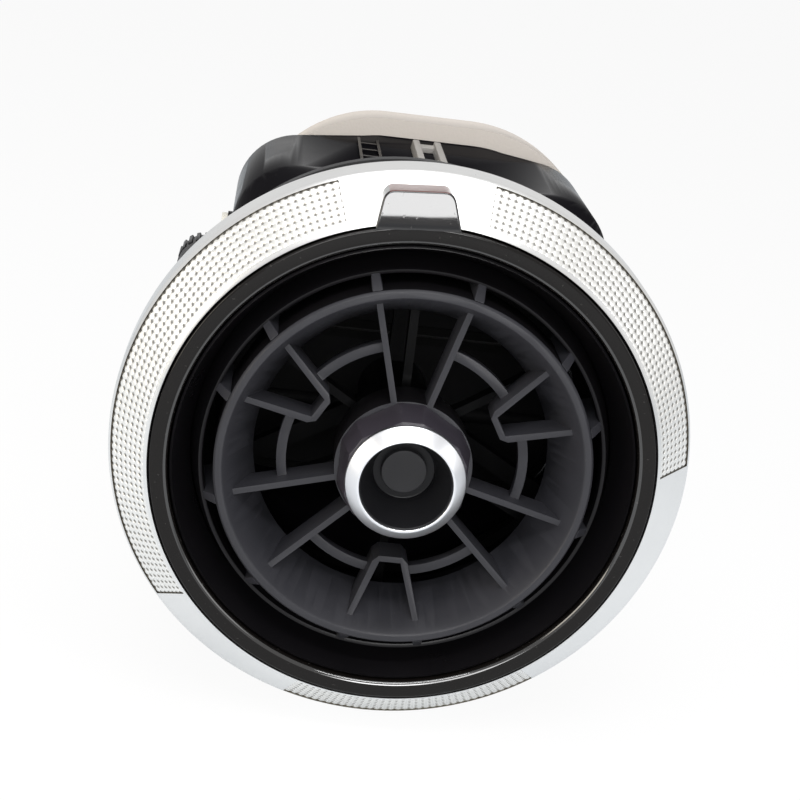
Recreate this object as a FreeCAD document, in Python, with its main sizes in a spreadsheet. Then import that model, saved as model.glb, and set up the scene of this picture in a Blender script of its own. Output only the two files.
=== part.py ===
import FreeCAD, Part
import math
import os
import re

import Sketcher
from FreeCAD import Placement, Rotation, Vector

# Dashboard air vent, millimetres. The origin is the centre of the silver ring's rim, +Y runs
# into the dashboard along the vent's axis and +Z is up. Angles in the front plane are counted
# from +X towards +Z, as a driver looking at the vent sees them.

DOCUMENT = FreeCAD.newDocument("DashboardVent")

SIZES = [
    ("ring_radius", 52.0, "silver ring, rim"),
    ("ring_face", 7.6, "silver ring, width of its cone seen from the front"),
    ("ring_height", 8.2, "silver ring, rim to front edge"),
    ("ring_side", 6.5, "silver ring, depth of its side wall behind the rim"),
    ("ring_wall", 1.6, "silver ring, wall"),
    ("knurl_start", 0.7, "knurled fields, distance from the rim along the cone"),
    ("knurl_width", 7.9, "knurled fields, width along the cone"),
    ("knurl_depth", 0.3, "knurled fields, depth of the recess"),
    ("ring_rest_turn", 4.3, "turn of the ring from upright, as photographed"),
    ("bezel_width", 3.15, "gloss bezel, width seen from the front"),
    ("bezel_gap", 0.25, "gloss bezel, gap to the silver ring"),
    ("bezel_proud", 0.3, "gloss bezel, height above the silver edge"),
    ("bezel_wall", 1.6, "gloss bezel, wall"),
    ("tab_length", 5.5, "grip tab, reach over the silver ring's front edge"),
    ("tab_root_width", 14.5, "grip tab, width at the bezel"),
    ("tab_tip_width", 11.5, "grip tab, width at its end"),
    ("tab_tip_height", 7.0, "grip tab, height of its end over the rim plane"),
    ("tab_corner", 1.8, "grip tab, corner radius"),
    ("skirt_step", 0.1, "turning skirt, step behind the bezel's inner edge"),
    ("skirt_wall", 1.9, "turning skirt, wall"),
    ("skirt_rear", 35.8, "turning skirt, rear end"),
    ("running_gap", 0.3, "clearance between turning or sliding pieces"),
    ("sleeve_wall", 2.3, "outer sleeve, wall"),
    ("flange_inset", 1.5, "dash flange, distance of its edge inside the silver ring's rim"),
    ("flange_front", 7.4, "dash flange, front face"),
    ("flange_thickness", 2.0, "dash flange, thickness"),
    ("joint_plane", 36.2, "plane where sleeve, barrel and duct meet"),
    ("joint_flange", 2.2, "thickness of each flange at that plane"),
    ("lug_offset", 1.8, "screw lugs, distance of their holes outside the sleeve"),
    ("lug_size", 4.0, "screw lugs, corner radius"),
    ("screw_diameter", 3.0, "housing screws, thread"),
    ("screw_head", 5.6, "housing screws, head diameter"),
    ("screw_head_depth", 2.0, "housing screws, depth of the head"),
    ("screw_length", 7.4, "housing screws, length under the head"),
    ("socket_wall", 3.1, "ball socket, wall from the ball to the skirt"),
    ("ball_centre", 8.0, "nozzle ball, depth of its centre"),
    ("ball_half_depth", 12.6, "nozzle ball, half its depth"),
    ("ball_wall", 1.5, "nozzle ball, wall"),
    ("ball_edge", 0.6, "nozzle ball, width of its front edge"),
    ("ball_edge_depth", 2.5, "nozzle ball, depth over which its front edge thins"),
    ("barrel_wall", 1.8, "inner barrel, wall behind the socket"),
    ("socket_reach", 9.0, "ball socket, reach behind the ball's centre"),
    ("mouth_depth", 1.0, "funnel, depth of its inner edge"),
    ("wheel_clearance", 4.8, "vane wheel, distance of its edge inside the ball"),
    ("wheel_front", 8.0, "vane wheel, front edge ahead of the rim plane"),
    ("wheel_lip", 1.7, "vane wheel, width of its front lip"),
    ("wheel_taper", 6.7, "vane wheel, how much its funnel narrows"),
    ("wheel_rear", 3.0, "vane wheel, rear end"),
    ("wheel_wall", 1.5, "vane wheel, wall"),
    ("wheel_travel", 5.0, "vane wheel, push-in travel"),
    ("spoke_front", 5.0, "spokes, front edge ahead of the rim plane"),
    ("spoke_rear", 1.0, "spokes, rear edge"),
    ("spoke_thickness", 1.1, "spokes, thickness"),
    ("spoke_half_angle", 15.0, "straight spokes, half the angle of a pair"),
    ("loop_root_half_angle", 11.5, "looped spokes, half angle at the wheel"),
    ("loop_offset", 5.3, "looped spokes, distance of the cross link from the hub"),
    ("loop_half_width", 2.9, "looped spokes, half the cross link"),
    ("arc_offset", 9.3, "short arcs between the spokes, distance of their middle from the hub"),
    ("arc_width", 1.7, "short arcs, radial width"),
    ("arc_front", 2.0, "short arcs, front edge ahead of the rim plane"),
    ("fin_thickness", 1.2, "outer fins between shell and wheel"),
    ("hub_radius", 12.2, "hub, outside"),
    ("hub_wall", 1.7, "hub, wall"),
    ("collar_front_radius", 10.9, "hub collar, front end"),
    ("collar_front", 11.5, "hub collar, front edge ahead of the rim plane"),
    ("collar_bore", 9.0, "hub collar, bore"),
    ("trim_outer_radius", 10.5, "knob ring, outside"),
    ("trim_inner_radius", 8.1, "knob ring, inside"),
    ("trim_rear", 11.5, "knob ring, rear face ahead of the rim plane"),
    ("trim_step", 12.2, "knob ring, outer edge ahead of the rim plane"),
    ("trim_front", 14.2, "knob ring, inner edge ahead of the rim plane"),
    ("cup_throat", 5.5, "knob cup, radius at its floor"),
    ("cup_floor", 7.3, "knob cup, floor ahead of the rim plane"),
    ("disc_radius", 4.0, "knob disc, radius"),
    ("disc_thickness", 1.2, "knob disc, thickness"),
    ("guide_radius", 10.2, "nozzle's centre tube, outside"),
    ("guide_wall", 1.6, "nozzle's centre tube, wall"),
    ("guide_rear", 12.4, "nozzle's centre tube, rear end"),
    ("pin_radius", 1.2, "cardan pins, radius"),
    ("pin_gap", 0.08, "cardan pins and flap journals, running clearance"),
    ("fork_inner", 4.4, "fork prongs, distance from the axis"),
    ("fork_thickness", 2.0, "fork prongs, thickness"),
    ("fork_width", 4.0, "fork prongs, width"),
    ("spider_front", 33.2, "spider, front face"),
    ("spider_thickness", 2.8, "spider, thickness"),
    ("spider_arm", 3.6, "spider, width of its arms"),
    ("chamber_left", -35.0, "flap chamber, left side"),
    ("chamber_inset", 4.6, "flap chamber, distance of its right side inside the sleeve"),
    ("chamber_bottom", -32.0, "flap chamber, underside"),
    ("chamber_top", 39.5, "flap chamber, top"),
    ("chamber_corner", 13.0, "flap chamber, corner radius"),
    ("chamber_front", 50.0, "flap chamber, front end"),
    ("chamber_rear", 80.5, "flap chamber, rear end"),
    ("duct_wall", 2.0, "duct, wall"),
    ("seat_left", -34.5, "foam seat, left side"),
    ("seat_right", 46.0, "foam seat, right side"),
    ("seat_bottom", -33.5, "foam seat, underside"),
    ("seat_top", 42.0, "foam seat, top"),
    ("seat_corner", 30.0, "foam seat, corner radius"),
    ("seat_front", 84.0, "foam seat, front end"),
    ("duct_rear", 94.0, "duct, rear end"),
    ("foam_thickness", 4.0, "foam collar, thickness"),
    ("foam_gap", 0.1, "foam collar, clearance on its seat"),
    ("flap_depth", 62.0, "flaps, depth of their shafts"),
    ("flap_gap", 0.5, "flaps, clearance to the chamber"),
    ("flap_thickness", 1.8, "flaps, thickness of the plate"),
    ("flap_seal_width", 1.8, "flap seals, width"),
    ("flap_seal_thickness", 2.6, "flap seals, thickness"),
    ("journal_radius", 2.0, "flap journals, radius"),
    ("bush_radius", 3.4, "journal bushes, outside"),
    ("bush_collar", 1.2, "journal bushes, thickness of the collar"),
    ("boss_reach", 1.0, "journal bosses, height on the chamber wall"),
    ("link_gear_teeth", 36.0, "flap gears, teeth of a full turn"),
    ("link_gear_width", 2.2, "flap gears, width"),
    ("pinion_teeth", 16.0, "rack pinion, teeth"),
    ("rack_module", 0.8, "rack and pinion, module"),
    ("rod_clearance", 0.6, "cam slide, clearance to the sleeve"),
    ("rod_width", 3.8, "cam slide, width"),
    ("rod_height", 4.0, "cam slide, height of its back"),
    ("rod_front", 22.0, "cam slide, front end"),
    ("follower_depth", 30.0, "follower pin, depth when the flaps stand open"),
    ("follower_radius", 1.6, "follower pin, radius"),
    ("follower_gap", 0.35, "follower pin, clearance in its slots"),
    ("follower_end", 0.2, "follower pin, distance of its tip outside the skirt's inner face"),
    ("ring_turn", 60.0, "turn of the ring from open to shut"),
    ("damper_module", 0.5, "damper gear, module"),
    ("damper_teeth", 19.0, "damper gear, teeth"),
    ("damper_angle", 145.0, "damper, place round the ring"),
    ("damper_radius", 4.4, "damper body, radius"),
    ("damper_body_depth", 5.0, "damper body, depth"),
    ("damper_seat", 0.6, "damper seat, height of the pad on the flange"),
    ("damper_gear_width", 5.0, "damper gear, width"),
    ("clip_width", 8.0, "spring clips, width"),
    ("clip_thickness", 0.8, "spring clips, sheet"),
    ("clip_catch", 4.4, "spring clips, reach of the catch outside the sleeve"),
    ("panel_thickness", 2.2, "dash panel held between flange and clips"),
    ("rail_width", 2.0, "top rails, width"),
    ("rail_height", 2.0, "top rails, height"),
    ("rail_pitch", 4.6, "top rails, distance between them"),
    ("bead_start", 10.0, "skirt's retaining bead, front side"),
    ("bead_width", 2.0, "skirt's retaining bead, width"),
    ("bead_height", 1.0, "skirt's retaining bead, height"),
    ("drive_plane", 0.9, "plane where bezel and drive ring meet"),
    ("drive_flange", 2.2, "drive ring, thickness of its front flange"),
    ("lap_depth", 3.0, "lap of the socket ring over the barrel"),
    ("guide_width", 3.4, "slide guides, width along the slide"),
    ("guide_thickness", 1.2, "slide guides, wall"),
    ("ladder_left", -10.5, "small ladder on the chamber, left side"),
    ("ladder_width", 4.0, "small ladder on the chamber, width"),
]

# Sizes that follow from others, as formulas of the same sheet
PLACES = [
    ("ring_front_radius", "ring_radius - ring_face", "silver ring, front edge"),
    ("bezel_inner_radius", "ring_front_radius - bezel_gap - bezel_width", "gloss bezel, inner edge"),
    ("tab_reach", "ring_front_radius + tab_length", "grip tab, outer end"),
    ("skirt_inner_radius", "bezel_inner_radius + skirt_step", "turning skirt, inside"),
    ("sleeve_radius", "skirt_inner_radius + skirt_wall + running_gap + sleeve_wall", "outer sleeve, outside"),
    ("flange_radius", "ring_radius - flange_inset", "dash flange, outside"),
    ("lug_radius", "sleeve_radius + lug_offset", "screw lugs, distance from the axis"),
    ("ball_radius", "skirt_inner_radius - socket_wall", "nozzle ball, outside"),
    ("wheel_radius", "ball_radius - wheel_clearance", "vane wheel, outside"),
    ("wheel_throat", "wheel_radius - wheel_taper", "vane wheel, narrow end of its funnel"),
    ("loop_radius", "hub_radius + loop_offset", "looped spokes, distance of the cross link"),
    ("arc_radius", "hub_radius + arc_offset", "short arcs, mean radius"),
    ("chamber_right", "sleeve_radius - chamber_inset", "flap chamber, right side"),
    ("rod_inner", "sleeve_radius + rod_clearance", "cam slide, inner side"),
    ("follower_tip", "skirt_inner_radius + follower_end", "follower pin, distance of its tip from the axis"),
    ("ring_gear_teeth", "round(2 * (skirt_inner_radius + skirt_wall) / damper_module - 2)",
     "ring gear, teeth of a full turn"),
    ("clip_reach", "sleeve_radius + clip_catch", "spring clips, distance of the catch from the axis"),
]

sheet = DOCUMENT.addObject("Spreadsheet::Sheet", "Sizes")
cells = [(alias, str(value), note) for alias, value, note in SIZES]
cells += [(alias, "=" + formula, note) for alias, formula, note in PLACES]
for row, (alias, content, note) in enumerate(cells, start=1):
    sheet.set("A%d" % row, note)
    sheet.set("B%d" % row, content)
    sheet.setAlias("B%d" % row, alias)
DOCUMENT.recompute()

ALIASES = {alias for alias, content, note in cells}


def number(text):
    """Value of an expression in the sheet's names."""
    result = sheet.evalExpression(text)
    return float(getattr(result, "Value", result))


def bound(text):
    """The same expression as the other objects of the document read it."""
    return re.sub("[a-z_]+", lambda word: ("Sizes." if word.group() in ALIASES else "") + word.group(), text)


# Places that several pieces share, in the sheet's names
SKIRT_OUTER = "(skirt_inner_radius + skirt_wall)"
BARREL_OUTER = "(skirt_inner_radius - running_gap)"
BARREL_INNER = "(skirt_inner_radius - running_gap - barrel_wall)"
SLEEVE_INNER = "(skirt_inner_radius + skirt_wall + running_gap)"
SLEEVE_OUTER = "sleeve_radius"
FLANGE_REAR = "(flange_front + flange_thickness)"
DUCT_PLANE = "(joint_plane + joint_flange)"
SOCKET_RADIUS = "(ball_radius + running_gap)"
FLAP_REACH = "((chamber_top - chamber_bottom - 2 * duct_wall) / 4)"
UPPER_SHAFT = "(chamber_top - duct_wall - (chamber_top - chamber_bottom - 2 * duct_wall) / 4)"
LOWER_SHAFT = "(chamber_bottom + duct_wall + (chamber_top - chamber_bottom - 2 * duct_wall) / 4)"
PINION_RADIUS = "(rack_module * pinion_teeth / 2)"
SLIDE_TRAVEL = "(rack_module * pinion_teeth * pi / 4)"
RACK_LINE = "(" + LOWER_SHAFT + " + " + PINION_RADIUS + ")"
ROD_BOTTOM = "(" + RACK_LINE + " - rack_module)"
ROD_TOP = "(" + RACK_LINE + " + 1.2 * rack_module + rod_height)"
ROD_MIDDLE = "((" + ROD_BOTTOM + " + " + ROD_TOP + ") / 2)"
ROD_OUTER = "(rod_inner + rod_width)"
GEAR_PLANE = "(chamber_right + boss_reach + bush_collar + 0.2)"
DAMPER_DISTANCE = "(damper_module * (ring_gear_teeth + damper_teeth) / 2)"
DAMPER_REAR = "(" + FLANGE_REAR + " + damper_body_depth)"
TRIANGLE_OF_LUGS = (30, 200, 290)

# Sketch planes: SIDE holds (radius, depth), FRONT holds (x, z) and ACROSS holds (depth, z)
SIDE, FRONT, ACROSS = "XY_Plane", "XZ_Plane", "YZ_Plane"
PARTS = []


def new_body(label):
    """A body whose label names the piece and its file."""
    body = DOCUMENT.addObject("PartDesign::Body", label)
    body.Label = label
    PARTS.append(body)
    return body


def origin_feature(body, role):
    """One plane or axis of a body's origin."""
    return [feature for feature in body.Origin.OriginFeatures if feature.Role == role][0]


def new_sketch(body, name, plane, depth="0", turn="0"):
    """Sketch on a plane of the body, moved along the plane's normal and turned about the vent's axis."""
    sketch = body.newObject("Sketcher::SketchObject", name)
    sketch.AttachmentSupport = [(origin_feature(body, plane), "")]
    sketch.MapMode = "FlatFace"
    axis = Vector(0, -1, 0) if plane == SIDE else Vector(0, 0, 1)
    shift = "-(" + depth + ")" if plane == FRONT else depth
    sketch.AttachmentOffset = Placement(Vector(0, 0, number(shift)), Rotation(axis, number(turn)))
    if depth != "0":
        sketch.setExpression("AttachmentOffset.Base.z", bound(shift))
    return sketch


def pin_point(sketch, edge, end, x, y):
    """Hold a point of a sketch at the two expressions, leaving out one marked as free."""
    for kind, text, axis in (("DistanceX", x, -2), ("DistanceY", y, -1)):
        if text.startswith("free "):
            continue
        if text == "0":
            sketch.addConstraint(Sketcher.Constraint("PointOnObject", edge, end, axis))
            continue
        index = sketch.addConstraint(Sketcher.Constraint(kind, -1, 1, edge, end, number(text)))
        if bound(text) != text:
            sketch.setExpression("Constraints[%d]" % index, bound(text))


def outline(sketch, corners):
    """Closed chain through the corners, each (x, y), or (x, y, cx, cy) at the end of an arc."""
    places = [(number(c[0].replace("free ", "")), number(c[1].replace("free ", ""))) for c in corners]
    points = [Vector(across, along, 0) for across, along in places]
    ends = []
    for index, corner in enumerate(corners):
        start, end = points[index - 1], points[index]
        if len(corner) == 2:
            edge = sketch.addGeometry(Part.LineSegment(start, end), False)
            ends.append((edge, 1, 2))
            continue
        centre = Vector(number(corner[2]), number(corner[3]), 0)
        whole = Part.Circle(centre, Vector(0, 0, 1), (start - centre).Length)
        first = math.atan2(start.y - centre.y, start.x - centre.x)
        last = math.atan2(end.y - centre.y, end.x - centre.x)
        if (last - first) % (2 * math.pi) < math.pi:
            edge = sketch.addGeometry(Part.ArcOfCircle(whole, first, last), False)
            ends.append((edge, 1, 2))
        else:
            edge = sketch.addGeometry(Part.ArcOfCircle(whole, last, first), False)
            ends.append((edge, 2, 1))
    for index, corner in enumerate(corners):
        edge, start, end = ends[index]
        following, next_start, next_end = ends[(index + 1) % len(ends)]
        sketch.addConstraint(Sketcher.Constraint("Coincident", edge, end, following, next_start))
        pin_point(sketch, edge, end, corner[0], corner[1])
        if len(corner) == 4:
            pin_point(sketch, edge, 3, corner[2], corner[3])


def circle(sketch, x, y, radius):
    """Circle of a sketch, its centre and radius held by expressions."""
    shape = Part.Circle(Vector(number(x), number(y), 0), Vector(0, 0, 1), number(radius))
    edge = sketch.addGeometry(shape, False)
    pin_point(sketch, edge, 3, x, y)
    index = sketch.addConstraint(Sketcher.Constraint("Radius", edge, number(radius)))
    sketch.setExpression("Constraints[%d]" % index, bound(radius))


def rounded_outline(sketch, left, right, bottom, top, corner):
    """Rectangle with round corners, its sides and radius held by expressions."""
    low, high = "(" + bottom + " + " + corner + ")", "(" + top + " - " + corner + ")"
    near, far = "(" + left + " + " + corner + ")", "(" + right + " - " + corner + ")"
    outline(sketch, [
        (far, bottom),
        ("free " + right, low, far, low),
        (right, high),
        (far, "free " + top, far, high),
        (near, top),
        ("free " + left, high, near, high),
        (left, low),
        (near, "free " + bottom, near, low),
    ])


def feature_of(body, kind, name, sketch):
    """Feature of a body made from one sketch."""
    feature = body.newObject("PartDesign::" + kind, name)
    feature.Profile = (sketch, [""])
    return feature


def revolve(body, name, corners, start="0", span="360", cut=False):
    """Turn a side outline about the vent's axis, all round or from an angle over a span."""
    sketch = new_sketch(body, name + "Outline", SIDE, turn=start + " + " + span if span != "360" else "0")
    outline(sketch, corners)
    feature = feature_of(body, "Groove" if cut else "Revolution", name, sketch)
    feature.ReferenceAxis = (sketch, ["V_Axis"])
    feature.Angle = number(span)
    return feature


def extrude(body, name, sketch, length, cut=False, midplane=False):
    """Pad or pocket a sketch, rearwards from the front plane or evenly to both sides."""
    feature = feature_of(body, "Pocket" if cut else "Pad", name, sketch)
    feature.Length = number(length)
    feature.setExpression("Length", bound(length))
    if midplane:
        feature.Midplane = True
    elif sketch.AttachmentSupport[0][0].Role == FRONT:
        feature.Reversed = not cut
    return feature


def plate(body, name, corners, thickness, turn="0", cut=False, depth="0"):
    """Upright plate through the vent's axis: a side outline thickened evenly to both sides."""
    sketch = new_sketch(body, name + "Outline", SIDE, depth=depth, turn=turn)
    outline(sketch, corners)
    return extrude(body, name, sketch, thickness, cut=cut, midplane=True)


def front_block(body, name, corners, depth, length, turn="0", cut=False):
    """A front outline extruded rearwards from a depth."""
    sketch = new_sketch(body, name + "Outline", FRONT, depth=depth, turn=turn)
    outline(sketch, corners)
    return extrude(body, name, sketch, length, cut=cut)


def round_hole(body, name, plane, x, y, radius, depth, length, cut=True, midplane=False, turn="0"):
    """Round hole or boss square to a plane."""
    sketch = new_sketch(body, name + "Outline", plane, depth=depth, turn=turn)
    circle(sketch, x, y, radius)
    return extrude(body, name, sketch, length, cut=cut, midplane=midplane)


def repeat(body, name, originals, count):
    """Repeat features evenly round the vent's axis."""
    DOCUMENT.recompute()
    pattern = body.newObject("PartDesign::PolarPattern", name)
    pattern.Originals = originals
    pattern.Axis = (origin_feature(body, "Y_Axis"), [""])
    pattern.Angle = 360
    pattern.Occurrences = count
    body.Tip = pattern
    return pattern


def cone_point(along, out):
    """Point of the silver cone, a distance from its rim and a height out of its face."""
    run, slant = "(ring_radius - ring_front_radius)", \
        "sqrt((ring_radius - ring_front_radius)^2 + ring_height^2)"
    x = "ring_radius - (%s) * %s / %s + (%s) * ring_height / %s" % (along, run, slant, out, slant)
    y = "-(%s) * ring_height / %s - (%s) * %s / %s" % (along, slant, out, run, slant)
    return (x, y)


def make_knurled_ring():
    """Silver turning ring: a cone with a side wall, recessed grip fields and a notch for the tab."""
    body = new_body("knurled_ring")
    body.Placement = Placement(Vector(), Rotation(Vector(0, -1, 0), number("ring_rest_turn")))
    revolve(body, "Shell", [
        ("ring_radius", "ring_side"),
        ("ring_radius", "0.3"),
        ("ring_radius - 0.3", "-0.35"),
        ("ring_front_radius + 0.4", "-ring_height"),
        ("ring_front_radius", "0.4 - ring_height"),
        ("ring_front_radius", "1.3 * ring_wall - ring_height"),
        ("ring_radius - ring_wall", "0.5 * ring_wall"),
        ("ring_radius - ring_wall", "ring_side"),
    ])
    for name, start, span in (("Right", "0", "75"), ("Left", "105", "107.5"), ("Bottom", "247", "54")):
        revolve(body, name + "Field", [
            cone_point("knurl_start", "0.5"),
            cone_point("knurl_start + knurl_width", "0.5"),
            cone_point("knurl_start + knurl_width", "-knurl_depth"),
            cone_point("knurl_start", "-knurl_depth"),
        ], start=start, span=span, cut=True)
    root, tip = "(tab_root_width / 2 + bezel_gap + 0.1)", "(tab_tip_width / 2 + bezel_gap + 0.1)"
    front_block(body, "Notch", [
        ("-" + root, "ring_front_radius - 2"),
        (root, "ring_front_radius - 2"),
        (tip, "tab_reach + bezel_gap"),
        ("-" + tip, "tab_reach + bezel_gap"),
    ], "-(ring_height + 1)", "ring_height + 1.5", cut=True)


def make_bezel_ring():
    """Gloss bezel with the grip tab that reaches through the silver ring's notch."""
    body = new_body("bezel_ring")
    body.Placement = Placement(Vector(), Rotation(Vector(0, -1, 0), number("ring_rest_turn")))
    front = "(ring_height + bezel_proud)"
    outer = "(ring_front_radius - bezel_gap)"
    revolve(body, "Annulus", [
        ("bezel_inner_radius", "0.4 - " + front),
        ("bezel_inner_radius + 0.5", "-" + front),
        (outer + " - 0.4", "-" + front),
        (outer, "0.4 - " + front),
        (outer, "bezel_wall - " + front),
        ("bezel_inner_radius + bezel_wall", "bezel_wall - " + front),
        ("bezel_inner_radius + bezel_wall", "drive_plane"),
        ("bezel_inner_radius", "drive_plane"),
    ])
    root, tip = "tab_root_width / 2", "tab_tip_width / 2"
    front_block(body, "Tab", [
        ("-" + root, outer + " - 1"),
        (root, outer + " - 1"),
        (tip, "tab_reach - tab_corner"),
        (tip + " - tab_corner", "free tab_reach", tip + " - tab_corner", "tab_reach - tab_corner"),
        ("tab_corner - " + tip, "tab_reach"),
        ("free -(" + tip + ")", "tab_reach - tab_corner", "tab_corner - " + tip, "tab_reach - tab_corner"),
    ], "-" + front, front + " - 0.8")
    plate(body, "TabSlope", [
        (outer + " + 0.2", "-" + front),
        (outer + " + 0.2", "-(" + front + " + 1)"),
        ("tab_reach + 1", "-(" + front + " + 1)"),
        ("tab_reach + 1", "-tab_tip_height"),
    ], "2 * tab_root_width", turn="90", cut=True)
    plate(body, "TabUnderside", [
        ("bezel_inner_radius + bezel_wall + 0.01", "-ring_height * 0.66"),
        (outer, "-ring_height * 0.66"),
        ("tab_reach", "-0.9"),
        ("tab_reach + 1", "-0.9"),
        ("tab_reach + 1", "1"),
        ("bezel_inner_radius + bezel_wall + 0.01", "1"),
    ], "2 * tab_root_width", turn="90", cut=True)


def make_drive_ring():
    """Turning skirt behind the silver ring, with its bead, ring gear teeth and cam slot."""
    body = DOCUMENT.addObject("PartDesign::Body", "DriveRingBlank")
    rim = "(ring_radius - ring_wall - 0.1)"
    revolve(body, "Skirt", [
        (rim, "drive_plane"),
        (rim, "ring_side - 0.2"),
        (rim + " - 1.4", "ring_side - 0.2"),
        (rim + " - 1.4", "drive_plane + drive_flange"),
        (SKIRT_OUTER, "drive_plane + drive_flange"),
        (SKIRT_OUTER, "bead_start"),
        (SKIRT_OUTER + " + bead_height", "bead_start + 0.3"),
        (SKIRT_OUTER + " + bead_height", "bead_start + bead_width - 0.3"),
        (SKIRT_OUTER, "bead_start + bead_width"),
        (SKIRT_OUTER, "skirt_rear"),
        ("skirt_inner_radius", "skirt_rear"),
        ("skirt_inner_radius", "drive_plane"),
    ])
    cutters = DOCUMENT.addObject("Part::Feature", "DriveRingCuts")
    cutters.Shape = Part.makeCompound(ring_gear_gaps() + [cam_slot()])
    cut_part("drive_ring", body, cutters)


def cut_part(label, base, tool):
    """A piece that is one object less another."""
    piece = DOCUMENT.addObject("Part::Cut", label)
    piece.Label = label
    piece.Base = base
    piece.Tool = tool
    PARTS.append(piece)
    return piece


def involute(angle):
    """Involute function of a pressure angle."""
    return math.tan(angle) - angle


def flank(module, teeth, side, backlash, steps=3):
    """Points (radius, angle) of one tooth's flank from root to tip, the tooth's middle at zero."""
    pitch, pressure = module * teeth / 2, math.radians(20)
    base = pitch * math.cos(pressure)
    root, tip = pitch - 1.2 * module, pitch + module
    start = max(base, root)
    half = (math.pi / 2 - backlash / module) / teeth
    points = [(root, half + involute(pressure))] if root < base else []
    for step in range(steps + 1):
        radius = start + (tip - start) * step / steps
        points.append((radius, half + involute(pressure) - involute(math.acos(min(1, base / radius)))))
    return [(radius, side * angle) for radius, angle in points]


def tooth(module, teeth, middle, backlash):
    """Points (radius, angle) round one tooth, counter-clockwise."""
    rising = flank(module, teeth, -1, backlash)
    falling = flank(module, teeth, 1, backlash)[::-1]
    return [(radius, middle + angle) for radius, angle in rising + falling]


def prism(points, start, length, axis):
    """Solid between two planes square to an axis, from corners (a, b) in that plane."""
    if axis == "y":
        corners = [Vector(a, start, b) for a, b in points]
        way = Vector(0, length, 0)
    else:
        corners = [Vector(start, a, b) for a, b in points]
        way = Vector(length, 0, 0)
    face = Part.Face(Part.makePolygon(corners + corners[:1]))
    return face.extrude(way)


def polar(points):
    """Cartesian corners of points (radius, angle)."""
    return [(radius * math.cos(angle), radius * math.sin(angle)) for radius, angle in points]


BACKLASH = 0.12
FLAP_TURN = 90


def gear_solid(module, teeth, middles, hub, start, length, centre, axis):
    """Toothed wheel or sector round a centre, with teeth at the given angles in degrees."""
    points = []
    for middle in sorted(middles):
        points += tooth(module, teeth, math.radians(middle), BACKLASH)
    if len(middles) < teeth:
        edge = math.radians(360 / teeth)
        points.append((hub * 0.5, math.radians(max(middles)) + edge))
        points.append((hub * 0.5, math.radians(min(middles)) - edge))
    wheel = prism(polar(points), start, length, axis)
    if axis == "y":
        wheel = wheel.fuse(Part.makeCylinder(hub, length, Vector(0, start, 0), Vector(0, 1, 0)))
        wheel.translate(Vector(centre[0], 0, centre[1]))
    else:
        wheel = wheel.fuse(Part.makeCylinder(hub, length, Vector(start, 0, 0), Vector(1, 0, 0)))
        wheel.translate(Vector(0, centre[0], centre[1]))
    return wheel


def ring_gear_gaps():
    """Tools for the gaps between the ring gear's teeth, over the stretch that passes the damper."""
    module, teeth = number("damper_module"), int(number("ring_gear_teeth"))
    start, length = number(DAMPER_REAR), number("damper_gear_width + 1.2")
    pitch = 360 / teeth
    first = number("damper_angle") - 7
    gaps = []
    for index in range(int((number("ring_turn") + 14) / pitch)):
        middle = number("damper_angle") + pitch * (round((first - number("damper_angle")) / pitch) + index)
        before = [(r, math.radians(middle) + a) for r, a in flank(module, teeth, 1, BACKLASH, 2)]
        after = [(r, math.radians(middle + pitch) + a) for r, a in flank(module, teeth, -1, BACKLASH, 2)]
        above = [(after[-1][0] + 0.5, after[-1][1]), (before[-1][0] + 0.5, before[-1][1])]
        gaps.append(prism(polar(before[::-1] + after + above), start, length, "y"))
    return gaps


def cam_slot():
    """Tool for the slot that moves the cam slide as the ring turns."""
    radius = number("skirt_inner_radius + skirt_wall / 2")
    half = number("follower_radius + follower_gap")
    rise = number(SLIDE_TRAVEL)
    angle = math.asin(number(ROD_MIDDLE) / radius)
    steps = 12
    pieces = []
    for step in range(steps + 1):
        turn = math.degrees(angle) + number("ring_turn") * step / steps
        depth = number("follower_depth") - rise * (1 - step / steps)
        hole = Part.makeCylinder(half, 6, Vector(radius - 3, depth, 0), Vector(1, 0, 0))
        hole.rotate(Vector(), Vector(0, -1, 0), turn)
        pieces.append(hole)
    bridges = []
    slope = math.atan2(rise / steps, math.radians(number("ring_turn") / steps) * radius)
    length = math.hypot(rise / steps, math.radians(number("ring_turn") / steps) * radius)
    for step in range(steps):
        bridge = Part.makeBox(6, 2 * half, length, Vector(radius - 3, -half, 0))
        bridge.translate(Vector(0, 0, -length / 2))
        bridge.rotate(Vector(), Vector(1, 0, 0), -math.degrees(slope))
        bridge.translate(Vector(0, number("follower_depth") - rise * (1 - (step + 0.5) / steps), 0))
        bridge.rotate(Vector(), Vector(0, -1, 0),
                      math.degrees(angle) + number("ring_turn") * (step + 0.5) / steps)
        bridges.append(bridge)
    return pieces[0].multiFuse(pieces[1:] + bridges).removeSplitter()


def damper_place():
    """Centre of the damper gear in the front plane."""
    angle = math.radians(number("damper_angle"))
    return number(DAMPER_DISTANCE) * math.cos(angle), number(DAMPER_DISTANCE) * math.sin(angle)


def add_lugs(body, start, thickness, hole):
    """Three screw lugs on a flange, each a block with a round end and a hole."""
    for index, angle in enumerate(TRIANGLE_OF_LUGS):
        name = "Lug%d" % index
        front_block(body, name, [
            (SKIRT_OUTER + " + 0.6", "-lug_size"),
            ("lug_radius", "-lug_size"),
            ("lug_radius", "lug_size"),
            (SKIRT_OUTER + " + 0.6", "lug_size"),
        ], start, thickness, turn=str(angle))
        round_hole(body, name + "End", FRONT, "lug_radius", "0", "lug_size", start, thickness,
                   cut=False, turn=str(angle))
        round_hole(body, name + "Hole", FRONT, "lug_radius", "0", hole, start + " - 1",
                   thickness + " + 2", turn=str(angle))


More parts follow.
